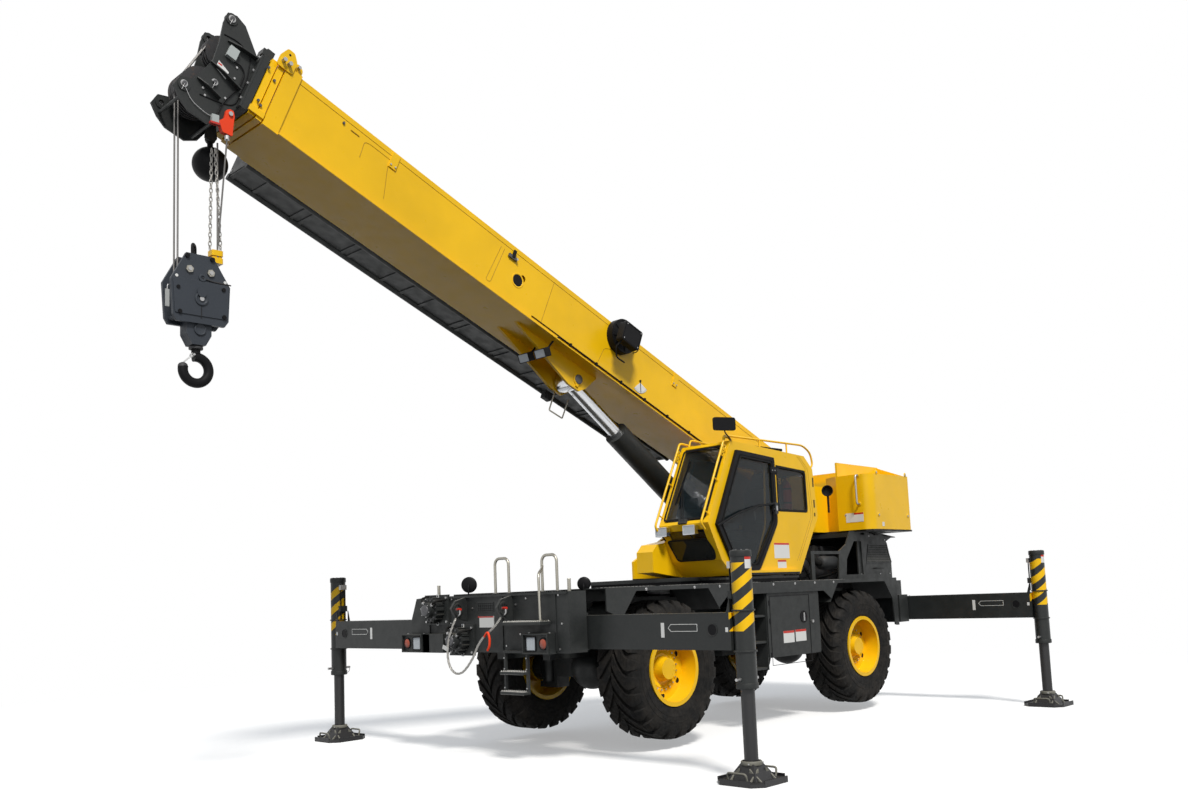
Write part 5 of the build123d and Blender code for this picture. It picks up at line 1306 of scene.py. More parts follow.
def counterweight_details():
    """Grab handles, bare plates, bolts, base strip and rear lamps of the counterweight."""
    piece = Piece("counterweight_details", "superstructure", "yellow_paint")
    low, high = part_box("counterweight")
    x = high.x
    for y in (1.02, -1.02):
        a = Vector((x + 0.002, y, 2.78))
        piece.tube([a, a + X * 0.07, a + X * 0.07 + Z * 0.40, a + Z * 0.40], 0.014, "steel", 0.045, 12)
        for z in (2.78, 3.18):
            piece.turned(Vector((x, y, z)), X, [(0.0, 0.0), (0.0, 0.030), (0.006, 0.028), (0.006, 0.0)],
                         "yellow", 20)
    for s in (-1, 1):
        y = s * (high.y + 0.0005)
        piece.box((x - 0.34, min(y, y + s * 0.002), 2.46), (x - 0.28, max(y, y + s * 0.002), 2.52), "plate")
        for z in (2.62, 3.22):
            for xx in (x - 0.20, x - 1.02):
                piece.turned(Vector((xx, s * high.y, z)), Y * s,
                             [(0.0, 0.0), (0.0, 0.034), (0.004, 0.030), (0.004, 0.0)], "yellow", 24)
                piece.bar((xx, s * high.y, z), (xx, s * (high.y + 0.010), z), 0.015, "steel", 6)
    piece.box((x + 0.0005, 0.79, 2.53), (x + 0.003, 1.07, 2.66), "plate")
    piece.box((x + 0.003, 0.92, 2.635), (x + 0.004, 1.07, 2.66), "red")
    outline = [(low.x + 0.02, -high.y + 0.03), (x - 0.10, -high.y + 0.03), (x - 0.03, -high.y + 0.12),
               (x - 0.03, high.y - 0.12), (x - 0.10, high.y - 0.03), (low.x + 0.02, high.y - 0.03)]
    piece.prism(outline, (0, 0, low.z - 0.022), (X, Y, Z), 0.024, "charcoal")
    for y in (-0.30, 0.30):
        piece.bar((low.x - 0.010, y * 2.8, 2.56), (low.x, y * 2.8, 2.56), 0.040, "red", 24)
        piece.block(Vector((low.x - 0.012, y * 2.2, 2.56)), (0.012, 0.075, 0.035), (X, Y, Z), "red")
    piece.done()


def tower_details():
    """Bosses, bolts, horn, hoses and stub beside the boom's foot."""
    piece = Piece("tower_details", "superstructure", "yellow_paint")
    for s in (1, -1):
        y = s * 0.90
        for x, z in ((-0.52, 2.52), (-0.30, 2.62), (-0.60, 2.78)):
            piece.bar(M(x, y, z), M(x, y + s * 0.010, z), 0.016, "steel", 6)
    c = M(0.05, 0.86, 2.955)
    piece.turned(c, Vector((0.9, 0.42, 0)),
                 [(-0.06, 0.0), (-0.06, 0.045), (-0.01, 0.060), (0.03, 0.078), (0.042, 0.078), (0.038, 0.062),
                                             (0.0, 0.045), (0.0, 0.0)], "black", 36)
    piece.bar(c - Z * 0.30, c - Z * 0.05, 0.014, "black", 10)
    piece.turned(M(0.66, 0.32, 2.70), Y,
                 [(-0.03, 0.0), (-0.03, 0.055), (0.055, 0.055), (0.065, 0.045), (0.065, 0.0)], "yellow", 32)
    for y in (-0.24, -0.14, 0.14, 0.24):
        piece.tube([M(1.06, y, 1.84), M(0.96, y, 2.02), M(0.70, y * 0.9, 2.30), M(0.30, y * 0.8, 2.55),
                    M(-0.02, y * 0.8, 2.80)],
                   0.013, "rubber", 0.20, 10)
    piece.done()


def turntable_skirt():
    """Dust skirt that closes the gap between the turning deck and the carrier."""
    piece = Piece("turntable_skirt", "superstructure", "dark_paint", bevel=0.0)
    z0, z1 = DECK_Z + 0.006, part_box("turntable_frame")[0].z + 0.004
    for x0, x1, y0, y1 in ((-0.88, 1.13, -0.74, 0.74), (-0.68, 0.78, 0.745, 1.13)):
        outline = [(x0, y0), (x1, y0), (x1, y1), (x0, y1)]
        piece.frame(outline, 0.010, Vector((SWING.x, 0, z0)), (X, Y, Z), z1 - z0, "black")
    piece.done()


def deck_details():
    """Step treads, deck panels, edge bolts and rear lamps of the carrier."""
    piece = Piece("deck_details", "carrier", "dark_paint", bevel=0.002)
    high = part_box("carrier_deck")[1]
    # toothed treads of the left-hand steps
    x0, x1, y0, y1 = REAR_X + 2.125, REAR_X + 2.445, 1.030, 1.190
    for z in (0.705, 1.015, 1.325):
        piece.box((x0, y0, z), (x1, y1, z + 0.003), "grip")
        for j in range(9):
            xx = x0 + (j + 0.5) * (x1 - x0) / 9
            for yy in (y0 + 0.03, (y0 + y1) / 2, y1 - 0.03):
                piece.bar((xx, yy, z + 0.003), (xx, yy, z + 0.012), 0.009, "grip", 8, 0.005)
    for s in (1, -1):
        for x in (0.66, 1.10, 1.54, 2.00, 2.62, 3.05, 3.50, 4.30):
            piece.turned(M(x, s * high.y, 1.705), Y * s,
                         [(0.0, 0.0), (0.0, 0.016), (0.003, 0.016), (0.003, 0.0)], "steel", 20)
            piece.bar(M(x, s * high.y, 1.705), M(x, s * (high.y + 0.008), 1.705), 0.009, "steel", 6)
    # anti-slip panels with raised bars
    for s in (1, -1):
        for x0, x1 in ((2.20, 2.95), (3.15, 3.85), (4.10, 4.80), (0.30, 0.95), (1.05, 1.90)):
            y0, y1 = sorted((s * 0.98, s * 1.20))
            piece.box(M(x0, y0, high.z), M(x1, y1, high.z + 0.002), "grip")
            for j in range(int((x1 - x0) / 0.06)):
                for i in range(4):
                    q = M(x0 + 0.03 + j * 0.06, y0 + 0.028 + i * 0.054, high.z + 0.002)
                    d = X if (i + j) % 2 else Y
                    piece.block(q, (0.017, 0.004, 0.0022), (d, Z.cross(d), Z), "grip")
    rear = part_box("rear_outrigger_box")[0].x
    for s in (1, -1):
        for y, kind in ((0.90, "red"), (0.74, "amber"), (0.60, "clear")):
            c = Vector((rear, s * y, 1.52))
            piece.turned(c, -X, [(0.0, 0.062), (0.010, 0.062), (0.010, 0.055)], "black", 28, closed=True)
            piece.turned(c, -X, [(0.0, 0.054), (0.012, 0.052), (0.020, 0.030), (0.022, 0.0)], kind, 28)
        for y, z in ((0.40, 1.16), (0.40, 1.60), (1.14, 1.18), (1.14, 1.46)):
            piece.bar((rear, s * y, z), (rear - 0.010, s * y, z), 0.012, "steel", 6)
    piece.box((rear - 0.003, -0.26, 1.26), (rear, 0.26, 1.38), "plate")
    piece.done()


def locker_details():
    """Door seam, handle, lock, hinges and bare plates of the lockers between the axles."""
    piece = Piece("locker_details", "carrier", "grey_paint", bevel=0.002)
    low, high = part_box("side_lockers")
    x0, x1 = 1.22, 2.07
    for s, y in ((1, high.y + 0.0005), (-1, low.y - 0.0005)):
        edge = [(x0, 0.735), (x1, 0.735), (x1, 1.565), (x0, 1.565)]
        piece.frame(edge, 0.007, M(0, y if s > 0 else y - 0.004, 0), (X, Z, Y), 0.004, "black")
        for z in (0.86, 1.265, 1.48):
            piece.block(M(x1 + 0.004, y + s * 0.003, z), (0.012, 0.003, 0.030), (X, Y, Z), "black")
    y = high.y + 0.0005
    piece.turned(M(1.357, y, 1.29), Y,
                 [(0.0, 0.0), (0.0, 0.075), (0.006, 0.075), (0.006, 0.058), (0.001, 0.054), (0.001, 0.0)],
                 "black", 36)
    piece.block(M(1.357, y + 0.006, 1.29), (0.014, 0.006, 0.050), (X, Y, Z), "steel")
    piece.bar(M(1.176, y, 1.226), M(1.176, y + 0.020, 1.226), 0.020, "steel", 16)
    for x, z in ((1.70, 1.06), (1.44, 1.065)):
        piece.box(M(x - 0.115, y, z - 0.072), M(x + 0.115, y + 0.002, z + 0.072), "plate")
        piece.box(M(x - 0.115, y + 0.002, z + 0.045), M(x + 0.115, y + 0.003, z + 0.072), "red")
    piece.done()


# ---- boom -------------------------------------------------------------------------------------
def groove(piece, path, mat="seam"):
    """A fine seam line drawn on the left wall of the base section: path gives (along, up)."""
    points = [on_boom(u, BOOM_SIDE + 0.0005, w) for u, w in path]
    piece.tube(points, 0.0028, mat, 0.04, 6)


BOOM_SIDE = 0.330


def boom_details():
    """Angle indicator, cable, seams, hole, clips and bolts of the base section."""
    piece = Piece("boom_details", "boom_base", "yellow_paint", bevel=0.002)
    # angle indicator: white arc plate and black pendulum
    c = on_boom(3.02, BOOM_SIDE + 0.001, -0.02)
    sweep = [math.radians(-50 + 10 * k) for k in range(11)]
    arc = [(0.0, -0.02)] + [(0.15 * math.sin(a), -0.15 * math.cos(a)) for a in sweep]
    piece.prism(arc, c, (X, Z, Y), 0.004, "plate")
    for k in range(11):
        a = math.radians(-50 + 10 * k)
        d = X * math.sin(a) - Z * math.cos(a)
        piece.block(c + d * 0.136 + Y * 0.0045, (0.010, 0.0012, 0.0006), (d, d.cross(Y), Y), "black")
    piece.bar(c + Y * 0.004, c + Y * 0.012, 0.014, "black", 14)
    piece.block(c - Z * 0.075 + Y * 0.008, (0.0035, 0.002, 0.066), (X, Y, Z), "black")
    # cable hole with a turned lip; its inside is a black disc of painted shade
    p = on_boom(5.139, BOOM_SIDE, 0.071)
    piece.turned(p, Y, [(0.0, 0.066), (0.004, 0.070), (0.005, 0.082), (0.0, 0.084)], "yellow", 40,
                 closed=True)
    # black disc: painted shade inside the hole
    piece.bar(p, p + Y * 0.0015, 0.070, "black", 36)
    # catch near the top edge
    p = on_boom(5.294, BOOM_SIDE + 0.012, 0.270)
    piece.block(p, (0.060, 0.020, 0.012), (ALONG, UP, Y), "dark_steel")
    piece.block(p + UP * 0.04 + Y * 0.01, (0.018, 0.045, 0.010), (ALONG, UP, Y), "black")
    piece.bar(p - ALONG * 0.05, p - ALONG * 0.05 + Y * 0.025, 0.014, "steel", 10)
    # seams of the side plates
    groove(piece, [(7.30, 0.10), (7.31, 0.285), (7.24, 0.30), (6.98, 0.30)])
    groove(piece, [(7.00, 0.22), (6.92, -0.12)])
    groove(piece, [(5.47, 0.30), (5.532, -0.165), (5.467, -0.161), (5.42, 0.30)])
    groove(piece, [(4.66, 0.36), (4.681, -0.20)])
    groove(piece, [(8.25, 0.36), (8.262, -0.17)])
    groove(piece, [(8.18, 0.352), (0.60, 0.352)])
    groove(piece, [(3.74, -0.16), (3.70, 0.05), (3.58, 0.10)])
    # black cable near the lower edge, its clips and the thin pipe beyond
    cable = [on_boom(u, BOOM_SIDE + 0.010, w) for u,
             w in ((4.42, -0.245), (4.38, -0.205), (3.41, -0.206), (0.95, -0.206))]
    piece.tube(cable, 0.010, "black", 0.05, 8)
    pipe = [on_boom(u, BOOM_SIDE + 0.006, w) for u, w in ((4.83, -0.195), (4.36, -0.195), (3.95, -0.215))]
    piece.tube(pipe, 0.005, "black", 0.05, 8)
    for k in range(8):
        p = on_boom(4.20 - k * 0.44, BOOM_SIDE + 0.006, -0.206)
        piece.block(p, (0.012, 0.020, 0.016), (ALONG, UP, Y), "black")
    # flat bars of the extension's brackets on both walls
    for s in (-1, 1):
        y = s * (BOOM_SIDE + 0.006)
        for u in (2.44, 6.955):
            piece.block(on_boom(u, y, 0.31), (0.045, 0.085, 0.006), (ALONG, UP, Y), "yellow")
            for du in (-0.028, 0.028):
                q = on_boom(u + du, y + s * 0.006, 0.255)
                piece.bar(q, q + Y * s * 0.008, 0.010, "steel", 6)
    # bolts and wear-pad adjusters round the collar
    for s in (-1, 1):
        for u, w in ((8.366, -0.08), (8.33, -0.11), (8.40, 0.28), (8.31, 0.20), (7.571, 0.305)):
            q = on_boom(u, s * BOOM_SIDE, w)
            piece.bar(q, q + Y * s * 0.014, 0.014, "dark_steel", 6)
        q = on_boom(8.34, s * (BOOM_SIDE + 0.008), -0.19)
        piece.block(q, (0.075, 0.030, 0.010), (ALONG, UP, Y), "yellow")
        q = on_boom(7.43, s * (BOOM_SIDE + 0.003), 0.293)
        piece.block(q, (0.050, 0.004, 0.003), (ALONG, UP, Y), "seam")
    # bolts on the collar's top
    for u, w, r in ((8.43, 0.425, 0.020), (8.37, 0.425, 0.020)):
        for s in (-1, 1):
            q = on_boom(u, s * 0.17, w)
            piece.bar(q, q + UP * 0.020, r, "dark_steel", 6)
    # lugs that stand at the collar's top edge
    for s in (-1, 1):
        y = s * (BOOM_SIDE + 0.020)
        lug = [(8.19, 0.36), (8.19, 0.50), (8.245, 0.574), (8.315, 0.574), (8.36, 0.47), (8.36, 0.36)]
        piece.prism(round_corners([(u - 8.27, w - 0.40) for u, w in lug], 0.02),
                    on_boom(8.27, y - s * 0.006, 0.40), (ALONG, UP, Y * s), 0.012, "yellow")
        # the lug's hole is a thin black disc: painted shade
        piece.turned(on_boom(8.28, y + s * 0.006, 0.525), Y * s,
                     [(0.0, 0.0), (0.0, 0.012), (0.0015, 0.012), (0.0015, 0.0)], "black", 16)
        for u in (8.255, 8.315):
            q = on_boom(u, y + s * 0.006, 0.425)
            piece.bar(q, q + Y * s * 0.045, 0.020, "steel", 12)
        lug = [(8.09, 0.36), (8.10, 0.50), (8.135, 0.535), (8.175, 0.535), (8.20, 0.49), (8.20, 0.36)]
        piece.prism(round_corners([(u - 8.15, w - 0.40) for u, w in lug], 0.015),
                    on_boom(8.15, s * 0.30, 0.40), (ALONG, UP, Y * s), 0.010, "yellow")
        q = on_boom(8.15, s * 0.31, 0.495)
        piece.bar(q, q + Y * s * 0.035, 0.016, "steel", 10)
    # foot pin bosses
    for s in (-1, 1):
        q = on_boom(0.0, s * 0.30, 0.0)
        piece.turned(q, Y * s, [(0.0, 0.0), (0.0, 0.085), (0.018, 0.085), (0.024, 0.070), (0.024, 0.0)],
                     "dark_steel", 32)
        piece.ring_of(q + Y * s * 0.024, Y * s, 0.052, 4, "steel", 0.010, 0.008)
    piece.done()


def boom_foot_details():
    """Work lamps, pin ends and the steel guard at the lift cylinder's lugs."""
    piece = Piece("boom_foot_details", "boom_base", "grey_paint")
    pin = on_boom(3.82, 0, -0.41)
    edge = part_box("lift_rod")[1].y
    for s in (-1, 1):
        q = pin + Y * s * PIN_END
        piece.turned(q, Y * s, [(0.0, 0.0), (0.0, 0.078), (0.012, 0.078), (0.016, 0.072), (0.016, 0.058)],
                     "yellow", 36)
        piece.turned(q, Y * s, [(0.016, 0.058), (0.026, 0.054), (0.030, 0.040), (0.030, 0.0)], "dark_steel",
                     32)
        piece.block(q + Y * s * 0.014 - UP * 0.085, (0.020, 0.012, 0.006), (ALONG, UP, Y), "yellow")
    for y in (0.0, 0.27):
        c = on_boom(4.50, y, -0.47)
        back = (ALONG * 0.75 - UP * 0.66).normalized()
        tall = Y.cross(back)
        outline = rounded_box(0.085, 0.052, 0.015)
        piece.prism(outline, c - back * 0.05, (Y, tall, back), 0.085, "black")
        piece.frame(outline, 0.008, c + back * 0.035, (Y, tall, back), 0.008, "black")
        piece.prism(shrunk(outline, 0.008), c + back * 0.035, (Y, tall, back), 0.004, "clear")
        piece.bar(c - back * 0.045, on_boom(4.44, y, -0.36), 0.012, "black", 10)
        piece.bar(on_boom(4.44, y, -0.36), on_boom(4.40, y, -0.245), 0.012, "black", 10)
    c = on_boom(3.90, -edge - 0.10, -0.60)
    piece.block(c, (0.055, 0.050, 0.035), (ALONG, UP, Y), "black")
    y = -edge - 0.06
    loop = [on_boom(u, y, w) for u, w in ((3.83, -0.50), (3.836, -0.765), (3.615, -0.760), (3.60, -0.500))]
    piece.tube(loop, 0.009, "zinc", 0.015, 10)
    piece.done()


def extension_plates():
    """Thin plates and stiffeners that close the stowed extension's four sides."""
    piece = Piece("extension_plates", "boom_base", "grey_paint", bevel=0.002)
    u0, u1 = 1.50, 8.00
    outer, inner = -(BOOM_SIDE + 0.48), -(BOOM_SIDE + 0.09)
    low, high = -0.230, 0.250
    mid_u, half_u = (u0 + u1) / 2, (u1 - u0) / 2 - 0.02
    for w in (low, high):
        piece.block(on_boom(mid_u, (outer + inner) / 2, w), (half_u, 0.185, 0.004), (ALONG, Y, UP),
                    "charcoal")
    for y in (outer, inner):
        piece.block(on_boom(mid_u, y, (low + high) / 2), (half_u, 0.004, 0.235), (ALONG, Y, UP), "charcoal")
    for k in range(12):
        u = u0 + 0.28 + k * (u1 - u0 - 0.56) / 11
        for y in (outer - 0.008, inner + 0.008):
            piece.block(on_boom(u, y, (low + high) / 2), (0.020, 0.007, 0.225), (ALONG, Y, UP), "charcoal")
        for w in (low - 0.008, high + 0.008):
            piece.block(on_boom(u, (outer + inner) / 2, w), (0.020, 0.180, 0.007), (ALONG, Y, UP), "charcoal")
    for u in (u0 + 0.01, u1 - 0.01):
        piece.block(on_boom(u, (outer + inner) / 2, (low + high) / 2), (0.006, 0.19, 0.235), (ALONG, Y, UP),
                    "charcoal")
        for y in (outer + 0.05, inner - 0.05):
            for w in (low + 0.05, high - 0.05):
                q = on_boom(u, y, w)
                piece.bar(q - ALONG * 0.012, q + ALONG * 0.012, 0.016, "steel", 6)
    piece.done()


def reel_details():
    """Flange, hose turns and the square motor box of the hose reel."""
    piece = Piece("reel_details", "boom_base", "dark_paint", bevel=0.004)
    low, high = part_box("hose_reel")
    c = (low + high) / 2
    y = high.y
    hub = Vector((c.x, y, c.z))
    for k in range(8):
        a = 2 * math.pi * k / 8
        d = Vector((math.cos(a), 0, math.sin(a)))
        piece.block(hub + Y * 0.003 + d * 0.125, (0.075, 0.004, 0.008), (d, Y, d.cross(Y)), "black")
    piece.turned(hub, Y, [(0.0, 0.186), (0.006, 0.190), (0.006, 0.206), (0.0, 0.206)], "black", 48,
                 closed=True)
    for r in (0.150, 0.168, 0.186):
        piece.turned(hub - Y * 0.02, Y, [(-0.015, r - 0.008), (0.0, r), (0.015, r - 0.008), (0.0, r - 0.016)],
                     "rubber", 40, closed=True)
    piece.bar(hub, hub + Y * 0.10, 0.055, "black", 24)
    box = hub + Y * 0.135 + ALONG * 0.045 - UP * 0.06
    outline = rounded_box(0.150, 0.125, 0.03)
    piece.prism(outline, box - Y * 0.045, (ALONG, UP, Y), 0.100, "black")
    piece.frame(shrunk(outline, 0.012), 0.010, box + Y * 0.055, (ALONG, UP, Y), 0.004, "black")
    for p, q in ((-0.12, -0.095), (0.12, -0.095), (0.12, 0.095), (-0.12, 0.095)):
        e = box + ALONG * p + UP * q + Y * 0.055
        piece.bar(e, e + Y * 0.006, 0.008, "steel", 6)
    hose = [box + ALONG * 0.10 - UP * 0.12, box + ALONG * 0.12 - UP * 0.20 - Y * 0.05,
            box + ALONG * 0.02 - UP * 0.27 - Y * 0.11, box - ALONG * 0.14 - UP * 0.25 - Y * 0.125]
    piece.tube(hose, 0.009, "rubber", 0.08, 8)
    hose = [box - ALONG * 0.145 + UP * 0.04, box - ALONG * 0.19 + UP * 0.04, box - ALONG * 0.19 - UP * 0.10,
            box - ALONG * 0.12 - UP * 0.16]
    piece.tube(hose, 0.006, "rubber", 0.05, 8)
    piece.done()


def head_details():
    """Webs, pins, limit switch, rope anchor, bare plates and leads of the boom's head."""
    piece = Piece("head_details", "boom_4", "yellow_paint", bevel=0.002)
    side = 0.237
    for s in (-1, 1):
        # webs that stand out from the cheek: (along, up) at the front and at the flange
        for (u0, w0), (u1, w1) in (((8.836, 0.018), (8.520, -0.062)), ((8.781, 0.308), (8.500, 0.324)),
                                   ((8.874, -0.204), (8.640, -0.262))):
            a, b = on_boom(u0, s * side, w0), on_boom(u1, s * side, w1)
            along = (b - a).normalized()
            up = along.cross(Y)
            half = (b - a).length / 2
            piece.prism([(-half, 0.0), (half, 0.0), (half, 0.060), (-half * 0.2, 0.052), (-half, 0.018)],
                        (a + b) / 2 - up * 0.006, (along, Y * s, up), 0.012, "charcoal")
        rim = [(8.83, 0.34), (8.70, 0.37), (8.55, 0.33), (8.50, 0.10), (8.50, -0.22), (8.62, -0.28),
               (8.80, -0.33)]
        piece.tube([on_boom(u, s * (side + 0.003), w) for u, w in rim], 0.006, "black", 0.06, 6)
        for u, w, r in ((8.830, 0.520, 0.034), (8.950, -0.340, 0.032), (8.735, -0.143, 0.030)):
            q = on_boom(u, s * side, w)
            piece.bar(q, q + Y * s * 0.016, r, "steel", 24)
            piece.bar(q + Y * s * 0.016, q + Y * s * 0.030, r * 0.6, "dark_steel", 16)
            piece.tube([q + Y * s * 0.026, q + Y * s * 0.034 - UP * 0.04, q + Y * s * 0.026 - UP * 0.07],
                       0.0025, "steel", 0.02, 6)
        for u, w in ((8.474, 0.355), (8.474, 0.20), (8.474, 0.05), (8.474, -0.12)):
            q = on_boom(u + 0.012, s * 0.268, w)
            piece.bar(q, q + ALONG * 0.014, 0.013, "steel", 6)
        for u, w in ((8.62, 0.13), (8.60, 0.02), (8.80, -0.26), (8.76, -0.31), (8.60, -0.21)):
            q = on_boom(u, s * side, w)
            piece.bar(q, q + Y * s * 0.010, 0.011, "steel", 6)
    # limit switch box, bare plate and lead on the left cheek
    piece.block(on_boom(8.705, side + 0.020, 0.215), (0.045, 0.055, 0.020), (ALONG, UP, Y), "plastic_grey")
    piece.block(on_boom(8.72, side + 0.003, 0.018), (0.062, 0.040, 0.002),
                ((ALONG * 0.94 + UP * 0.33).normalized(), UP, Y), "plate")
    piece.block(on_boom(8.755, side + 0.0035, 0.052), (0.020, 0.008, 0.002), (ALONG, UP, Y), "red")
    lead = [(8.66, 0.16), (8.60, 0.17), (8.54, 0.13), (8.53, -0.02), (8.56, -0.12), (8.60, -0.26),
            (8.605, -0.40)]
    piece.tube([on_boom(u, side + 0.012, w) for u, w in lead], 0.006, "black", 0.06, 8)
    lead = [(8.93, -0.36), (8.84, -0.44), (8.70, -0.46), (8.62, -0.45)]
    piece.tube([on_boom(u, side + 0.012, w) for u, w in lead], 0.003, "steel", 0.06, 6)
    piece.block(on_boom(8.607, side + 0.012, -0.455), (0.032, 0.034, 0.022), (X, Z, Y), "plastic_grey")
    piece.block(on_boom(8.607, side + 0.012, -0.455) - Z * 0.042, (0.045, 0.010, 0.022), (X, Z, Y), "red")
    # red wedge socket that holds the rope's dead end
    top = on_boom(8.511, side - 0.004, -0.330)
    outline = [(0.032, 0.036), (0.000, 0.045), (-0.034, 0.030), (-0.052, -0.050), (-0.105, -0.090),
               (-0.070, -0.185), (0.020, -0.200), (0.032, -0.085), (0.042, -0.010)]
    piece.prism(round_corners(outline, 0.010), top - Y * 0.015, (-X, Z, Y), 0.050, "orange")
    piece.bar(top + Z * -0.20 + Y * 0.01 + X * 0.02, top + Z * -0.235 + Y * 0.01 + X * 0.02, 0.022, "steel",
              14)
    piece.bar(top - Y * 0.025, top + Y * 0.050, 0.020, "steel", 16)
    # dark stop block on the collar's top
    q = on_boom(8.43, 0.20, 0.455)
    outline = [(-0.055, -0.040), (-0.055, 0.048), (0.020, 0.048), (0.030, 0.030), (0.055, 0.030),
               (0.055, -0.040)]
    piece.prism(outline, q - Y * 0.05, (ALONG, UP, Y), 0.11, "charcoal")
    # hoist rope led from the upper sheave down the head's front edge
    a, b = on_boom(8.72, 0, 0.29), SHEAVE
    for y in (-0.035, 0.035):
        go = b - a
        turn = math.atan2(go.z, go.x)
        bend = math.asin((0.180 - 0.150) / go.length)
        n = Vector((math.cos(turn + math.pi / 2 + bend), 0, math.sin(turn + math.pi / 2 + bend)))
        if n.x < 0:
            n = Vector((math.cos(turn - math.pi / 2 - bend), 0, math.sin(turn - math.pi / 2 - bend)))
        piece.tube([a + n * 0.150 + Y * y, b + n * 0.180 + Y * y], 0.008, "rope", 0.001, 8)
    piece.done()


def switch_weight():
    """Hoist limit: two chains from the head to the yellow weight round the rear falls."""
    piece = Piece("switch_weight", "hook_lines", "yellow_paint")
    low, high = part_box("hoist_ropes")
    c = Vector((low.x + 0.010, 0.0, low.z + 0.315))
    outline = rounded_box(0.052, 0.048, 0.016)
    for z0, tall, grow in ((0.0, 0.050, 0.0), (0.053, 0.012, -0.008), (0.068, 0.050, 0.0)):
        piece.prism(shrunk(outline, -grow), c + Z * z0, (X, Y, Z), tall, "yellow")
    dead = on_boom(8.511, 0.243, -0.330) + Vector((0.02, 0, -0.232))
    piece.tube([dead, Vector((low.x + 0.008, high.y - 0.008, dead.z - 0.95))], 0.008, "rope", 0.001, 8)
    for y, x in ((0.034, -0.030), (-0.034, 0.036)):
        piece.bar(c + Vector((x, y, 0.118)), c + Vector((x, y, 0.140)), 0.009, "steel", 8)
        n = 34
        for k in range(n):
            t = k / n
            z = c.z + 0.150 + k * 0.040
            if z > high.z - 0.50:
                break
            d = X if k % 2 else Y
            at = Vector((c.x + x * (1 - t) + 0.05 * t, y * (1 - t) + 0.05 * t, z))
            turns = [2 * math.pi * j / 10 for j in range(11)]
            link = [at + d * 0.013 * math.cos(a) + Z * 0.027 * math.sin(a) for a in turns]
            piece.tube(link, 0.0048, "sling", 0.002, 6)
    piece.done()


def block_details():
    """Guard plates, nuts, bosses, handle and seams of the hook block."""
    piece = Piece("block_details", "hook_block", "dark_paint")
    low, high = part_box("hook_block")
    c = (low + high) / 2
    z0 = high.z - 0.34
    for s in (-1, 1):
        y = s * 0.100
        plate = [(-0.250, 0.105), (0.250, 0.105), (0.232, -0.205), (-0.236, -0.205)]
        base = Vector((c.x, y if s > 0 else y - 0.008, z0))
        piece.prism(round_corners(plate, 0.02), base, (X, Z, Y), 0.008, "block_paint_with_painted_sky")
        for dx, dz, r, mat in ((0.105, 0.195, 0.034, "zinc"), (-0.085, 0.190, 0.034, "zinc"),
                               (-0.215, 0.130, 0.013, "plate"), (0.218, 0.118, 0.013, "plate"),
                               (-0.100, 0.315, 0.020, "black"), (0.125, 0.312, 0.020, "black"),
                               (-0.200, 0.060, 0.018, "black"), (0.205, 0.020, 0.016, "black"),
                               (-0.205, -0.185, 0.020, "black"), (0.190, -0.190, 0.018, "black")):
            q = Vector((c.x + dx, y, z0 + dz))
            tall = 0.016 if mat != "plate" else 0.009
            piece.bar(q, q + Y * s * tall, r, mat, 6 if mat == "zinc" else 18)
            if mat == "zinc":
                piece.bar(q + Y * s * tall, q + Y * s * (tall + 0.008), r * 0.5, "steel", 16)
        q = Vector((c.x - 0.01, y, z0 + 0.135))
        piece.turned(q, Y * s, [(0.0, 0.034), (0.012, 0.032), (0.012, 0.018), (0.004, 0.014), (0.004, 0.0)],
                     "block_paint_with_painted_sky", 28)
        piece.tube([q + Vector((0, s * 0.006, 0)), q + Vector((-0.10, s * 0.006, -0.018)),
                    q + Vector((-0.26, s * 0.004, -0.022))],
                   0.006, "cast", 0.03, 8)
        q = Vector((c.x, y + s * 0.008, z0 - 0.055))
        piece.turned(q, Y * s, [(0.0, 0.060), (0.010, 0.058), (0.012, 0.046), (0.004, 0.040), (0.004, 0.0)],
                     "block_paint_with_painted_sky", 36)
        piece.bar(q, q + Y * s * 0.014, 0.020, "steel", 12)
        piece.block(q - Z * 0.115 + Y * s * 0.0015, (0.004, 0.050, 0.0015), (X, Z, Y), "seam_dark")
        q = Vector((c.x - 0.005, s * 0.067, z0 - 0.315))
        piece.turned(q, Y * s, [(0.0, 0.055), (0.012, 0.052), (0.014, 0.044), (0.006, 0.040), (0.006, 0.0)],
                     "block_paint_with_painted_sky", 32)
    # handle on the top and tag at the front edge
    q = Vector((c.x + 0.02, 0.0, high.z - 0.012))
    across = Vector((0.62, 0.78, 0)) * 0.045
    piece.tube([q - across, q - across + Z * 0.125, q + across + Z * 0.125, q + across], 0.014, "black", 0.04,
               12)
    q = Vector((high.x - 0.004, 0.085, z0 + 0.03))
    piece.tube([q, q + Vector((0.030, 0.01, 0.0)), q + Vector((0.035, 0.01, -0.05))], 0.004, "steel", 0.02, 6)
    piece.block(q + Vector((0.034, 0.012, -0.12)), (0.018, 0.004, 0.075), (X, Y, Z), "plate_dull")
    piece.done()


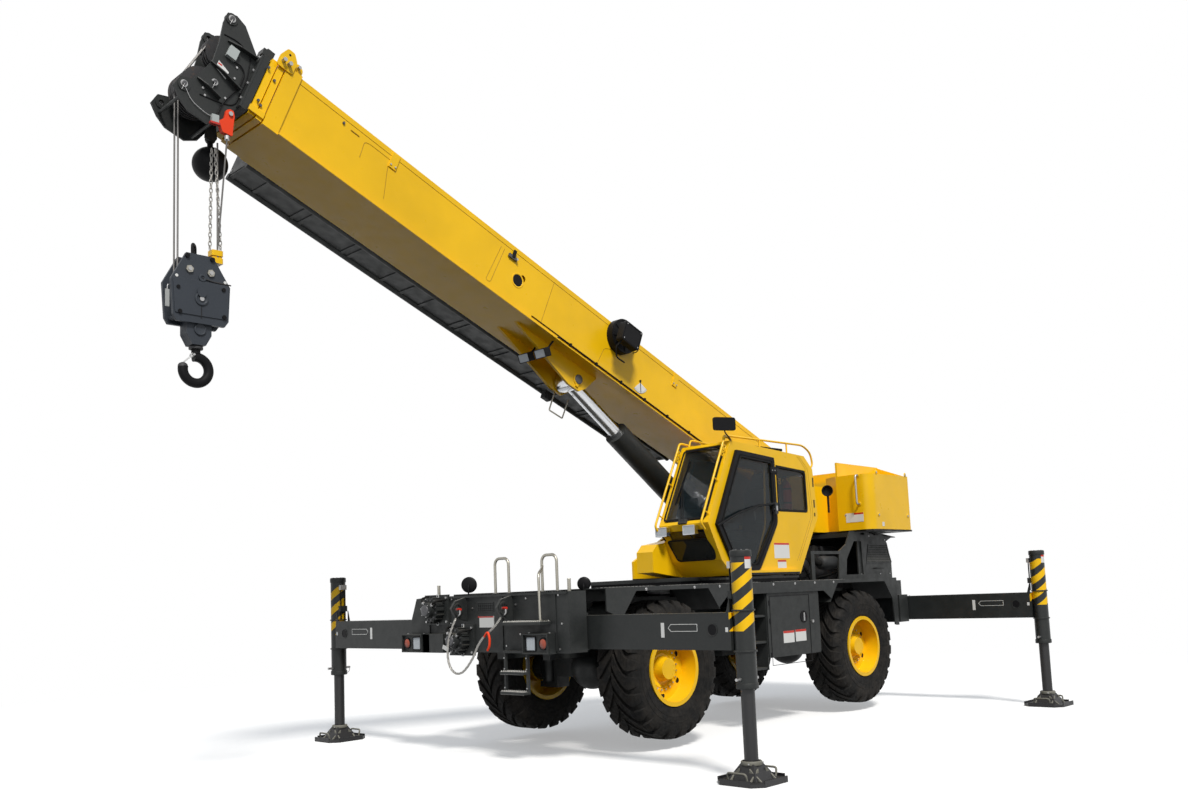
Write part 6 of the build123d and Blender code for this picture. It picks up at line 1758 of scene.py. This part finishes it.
def hook_details():
    """Collar nut, spring catch and its pin on the hook."""
    piece = Piece("hook_details", "hook", "cast", bevel=0.002)
    low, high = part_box("hook")
    c = Vector(((low.x + high.x) / 2, 0, 0))
    collar = [(0.0, 0.040), (0.0, 0.060), (0.022, 0.060), (0.026, 0.050), (0.026, 0.040)]
    piece.turned(Vector((c.x, 0, high.z - 0.030)), Z, collar, "cast", 28, closed=True)
    ring_z = low.z + 0.157
    tip = Vector((c.x + 0.115, 0, ring_z + 0.020))
    root = Vector((c.x + 0.030, 0, ring_z + 0.128))
    piece.turned(tip, Z, [(-0.004, 0.042), (0.012, 0.040), (0.026, 0.030), (0.034, 0.014), (0.036, 0.0)],
                 "cast", 28)
    catch = tip + Vector((0.002, 0, 0.030)) - root
    axis = catch.normalized()
    flat = axis.cross(Y)
    half = catch.length / 2
    outline = [(-half, -0.026), (half * 0.6, -0.020), (half, -0.010), (half, 0.010), (half * 0.6, 0.020),
               (-half, 0.026)]
    piece.prism(outline, root + catch / 2 - flat * 0.004, (axis, Y, flat), 0.008, "steel")
    piece.bar(root - Y * 0.040, root + Y * 0.040, 0.010, "steel", 12)
    piece.turned(root, Y, [(-0.020, 0.012), (-0.020, 0.018), (0.020, 0.018), (0.020, 0.012)], "steel", 20,
                 closed=True)
    piece.done()


PIECES = (nose_hubs, nose_lamps, nose_plates, nose_steps, nose_mirrors, nose_sling, cab_trim, cab_side_window,
          cab_inside, door_trim, hood_details, engine_details, counterweight_details, tower_details,
          turntable_skirt, deck_details, locker_details, boom_details, boom_foot_details, extension_plates,
          reel_details, head_details, switch_weight, block_details, hook_details)


def dress_frame():
    """Gives every CAD node its material."""
    table = {
        "yellow": ("counterweight", "cab_shell", "heater_housing", "boom_base", "rim_fl", "rim_fr", "rim_rl",
                   "rim_rr"),
        "charcoal": (
            "boom_nose",
            "carrier_frame", "carrier_deck", "front_outrigger_box", "rear_outrigger_box", "side_lockers",
            "engine_hood", "front_axle", "rear_axle", "drive_line", "front_fittings", "lift_barrel",
            "knuckle_fl", "knuckle_fr", "knuckle_rl", "knuckle_rr", "boom_extension",
        ),
        "bands": tuple("outrigger_beam_" + c for c in JACKS),
        "rod_black": tuple("jack_rod_" + c for c in JACKS),
        "steel": ("slew_ring",),
        "zinc": ("handrails",),
        "cast": ("engine_block", "winches", "nose_sheaves"),
        "block_paint_with_painted_sky": ("hook_block",),
        "black": ("cab_door", "hook", "hose_reel", "overhaul_ball"),
        "glass": ("cab_glass", "door_glass"),
        "chrome": ("lift_rod",),
        "cloth": ("cab_interior",),
        "frame_paint": ("turntable_frame",),
        "section_2": ("boom_section_2",),
        "section_3": ("boom_section_3",),
        "section_4": ("boom_section_4",),
        "tyre": ("tyre_fl", "tyre_fr", "tyre_rl", "tyre_rr"),
        "rope": ("hoist_ropes",),
    }
    for mat, nodes in table.items():
        for node in nodes:
            obj = frame["nodes"][node]
            obj.data.materials.clear()
            obj.data.materials.append(MATS[mat])


MATS = make_materials()
bpy.context.scene.view_settings.view_transform = "Standard"
add_camera()
add_world()
add_lights()
add_floor()
dress_frame()
for corner in WHEEL:
    tread(corner)
    hub_details(corner)
for corner in JACKS:
    jack_details(corner)
    float_details(corner)
for make in PIECES:
    make()

low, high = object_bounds()
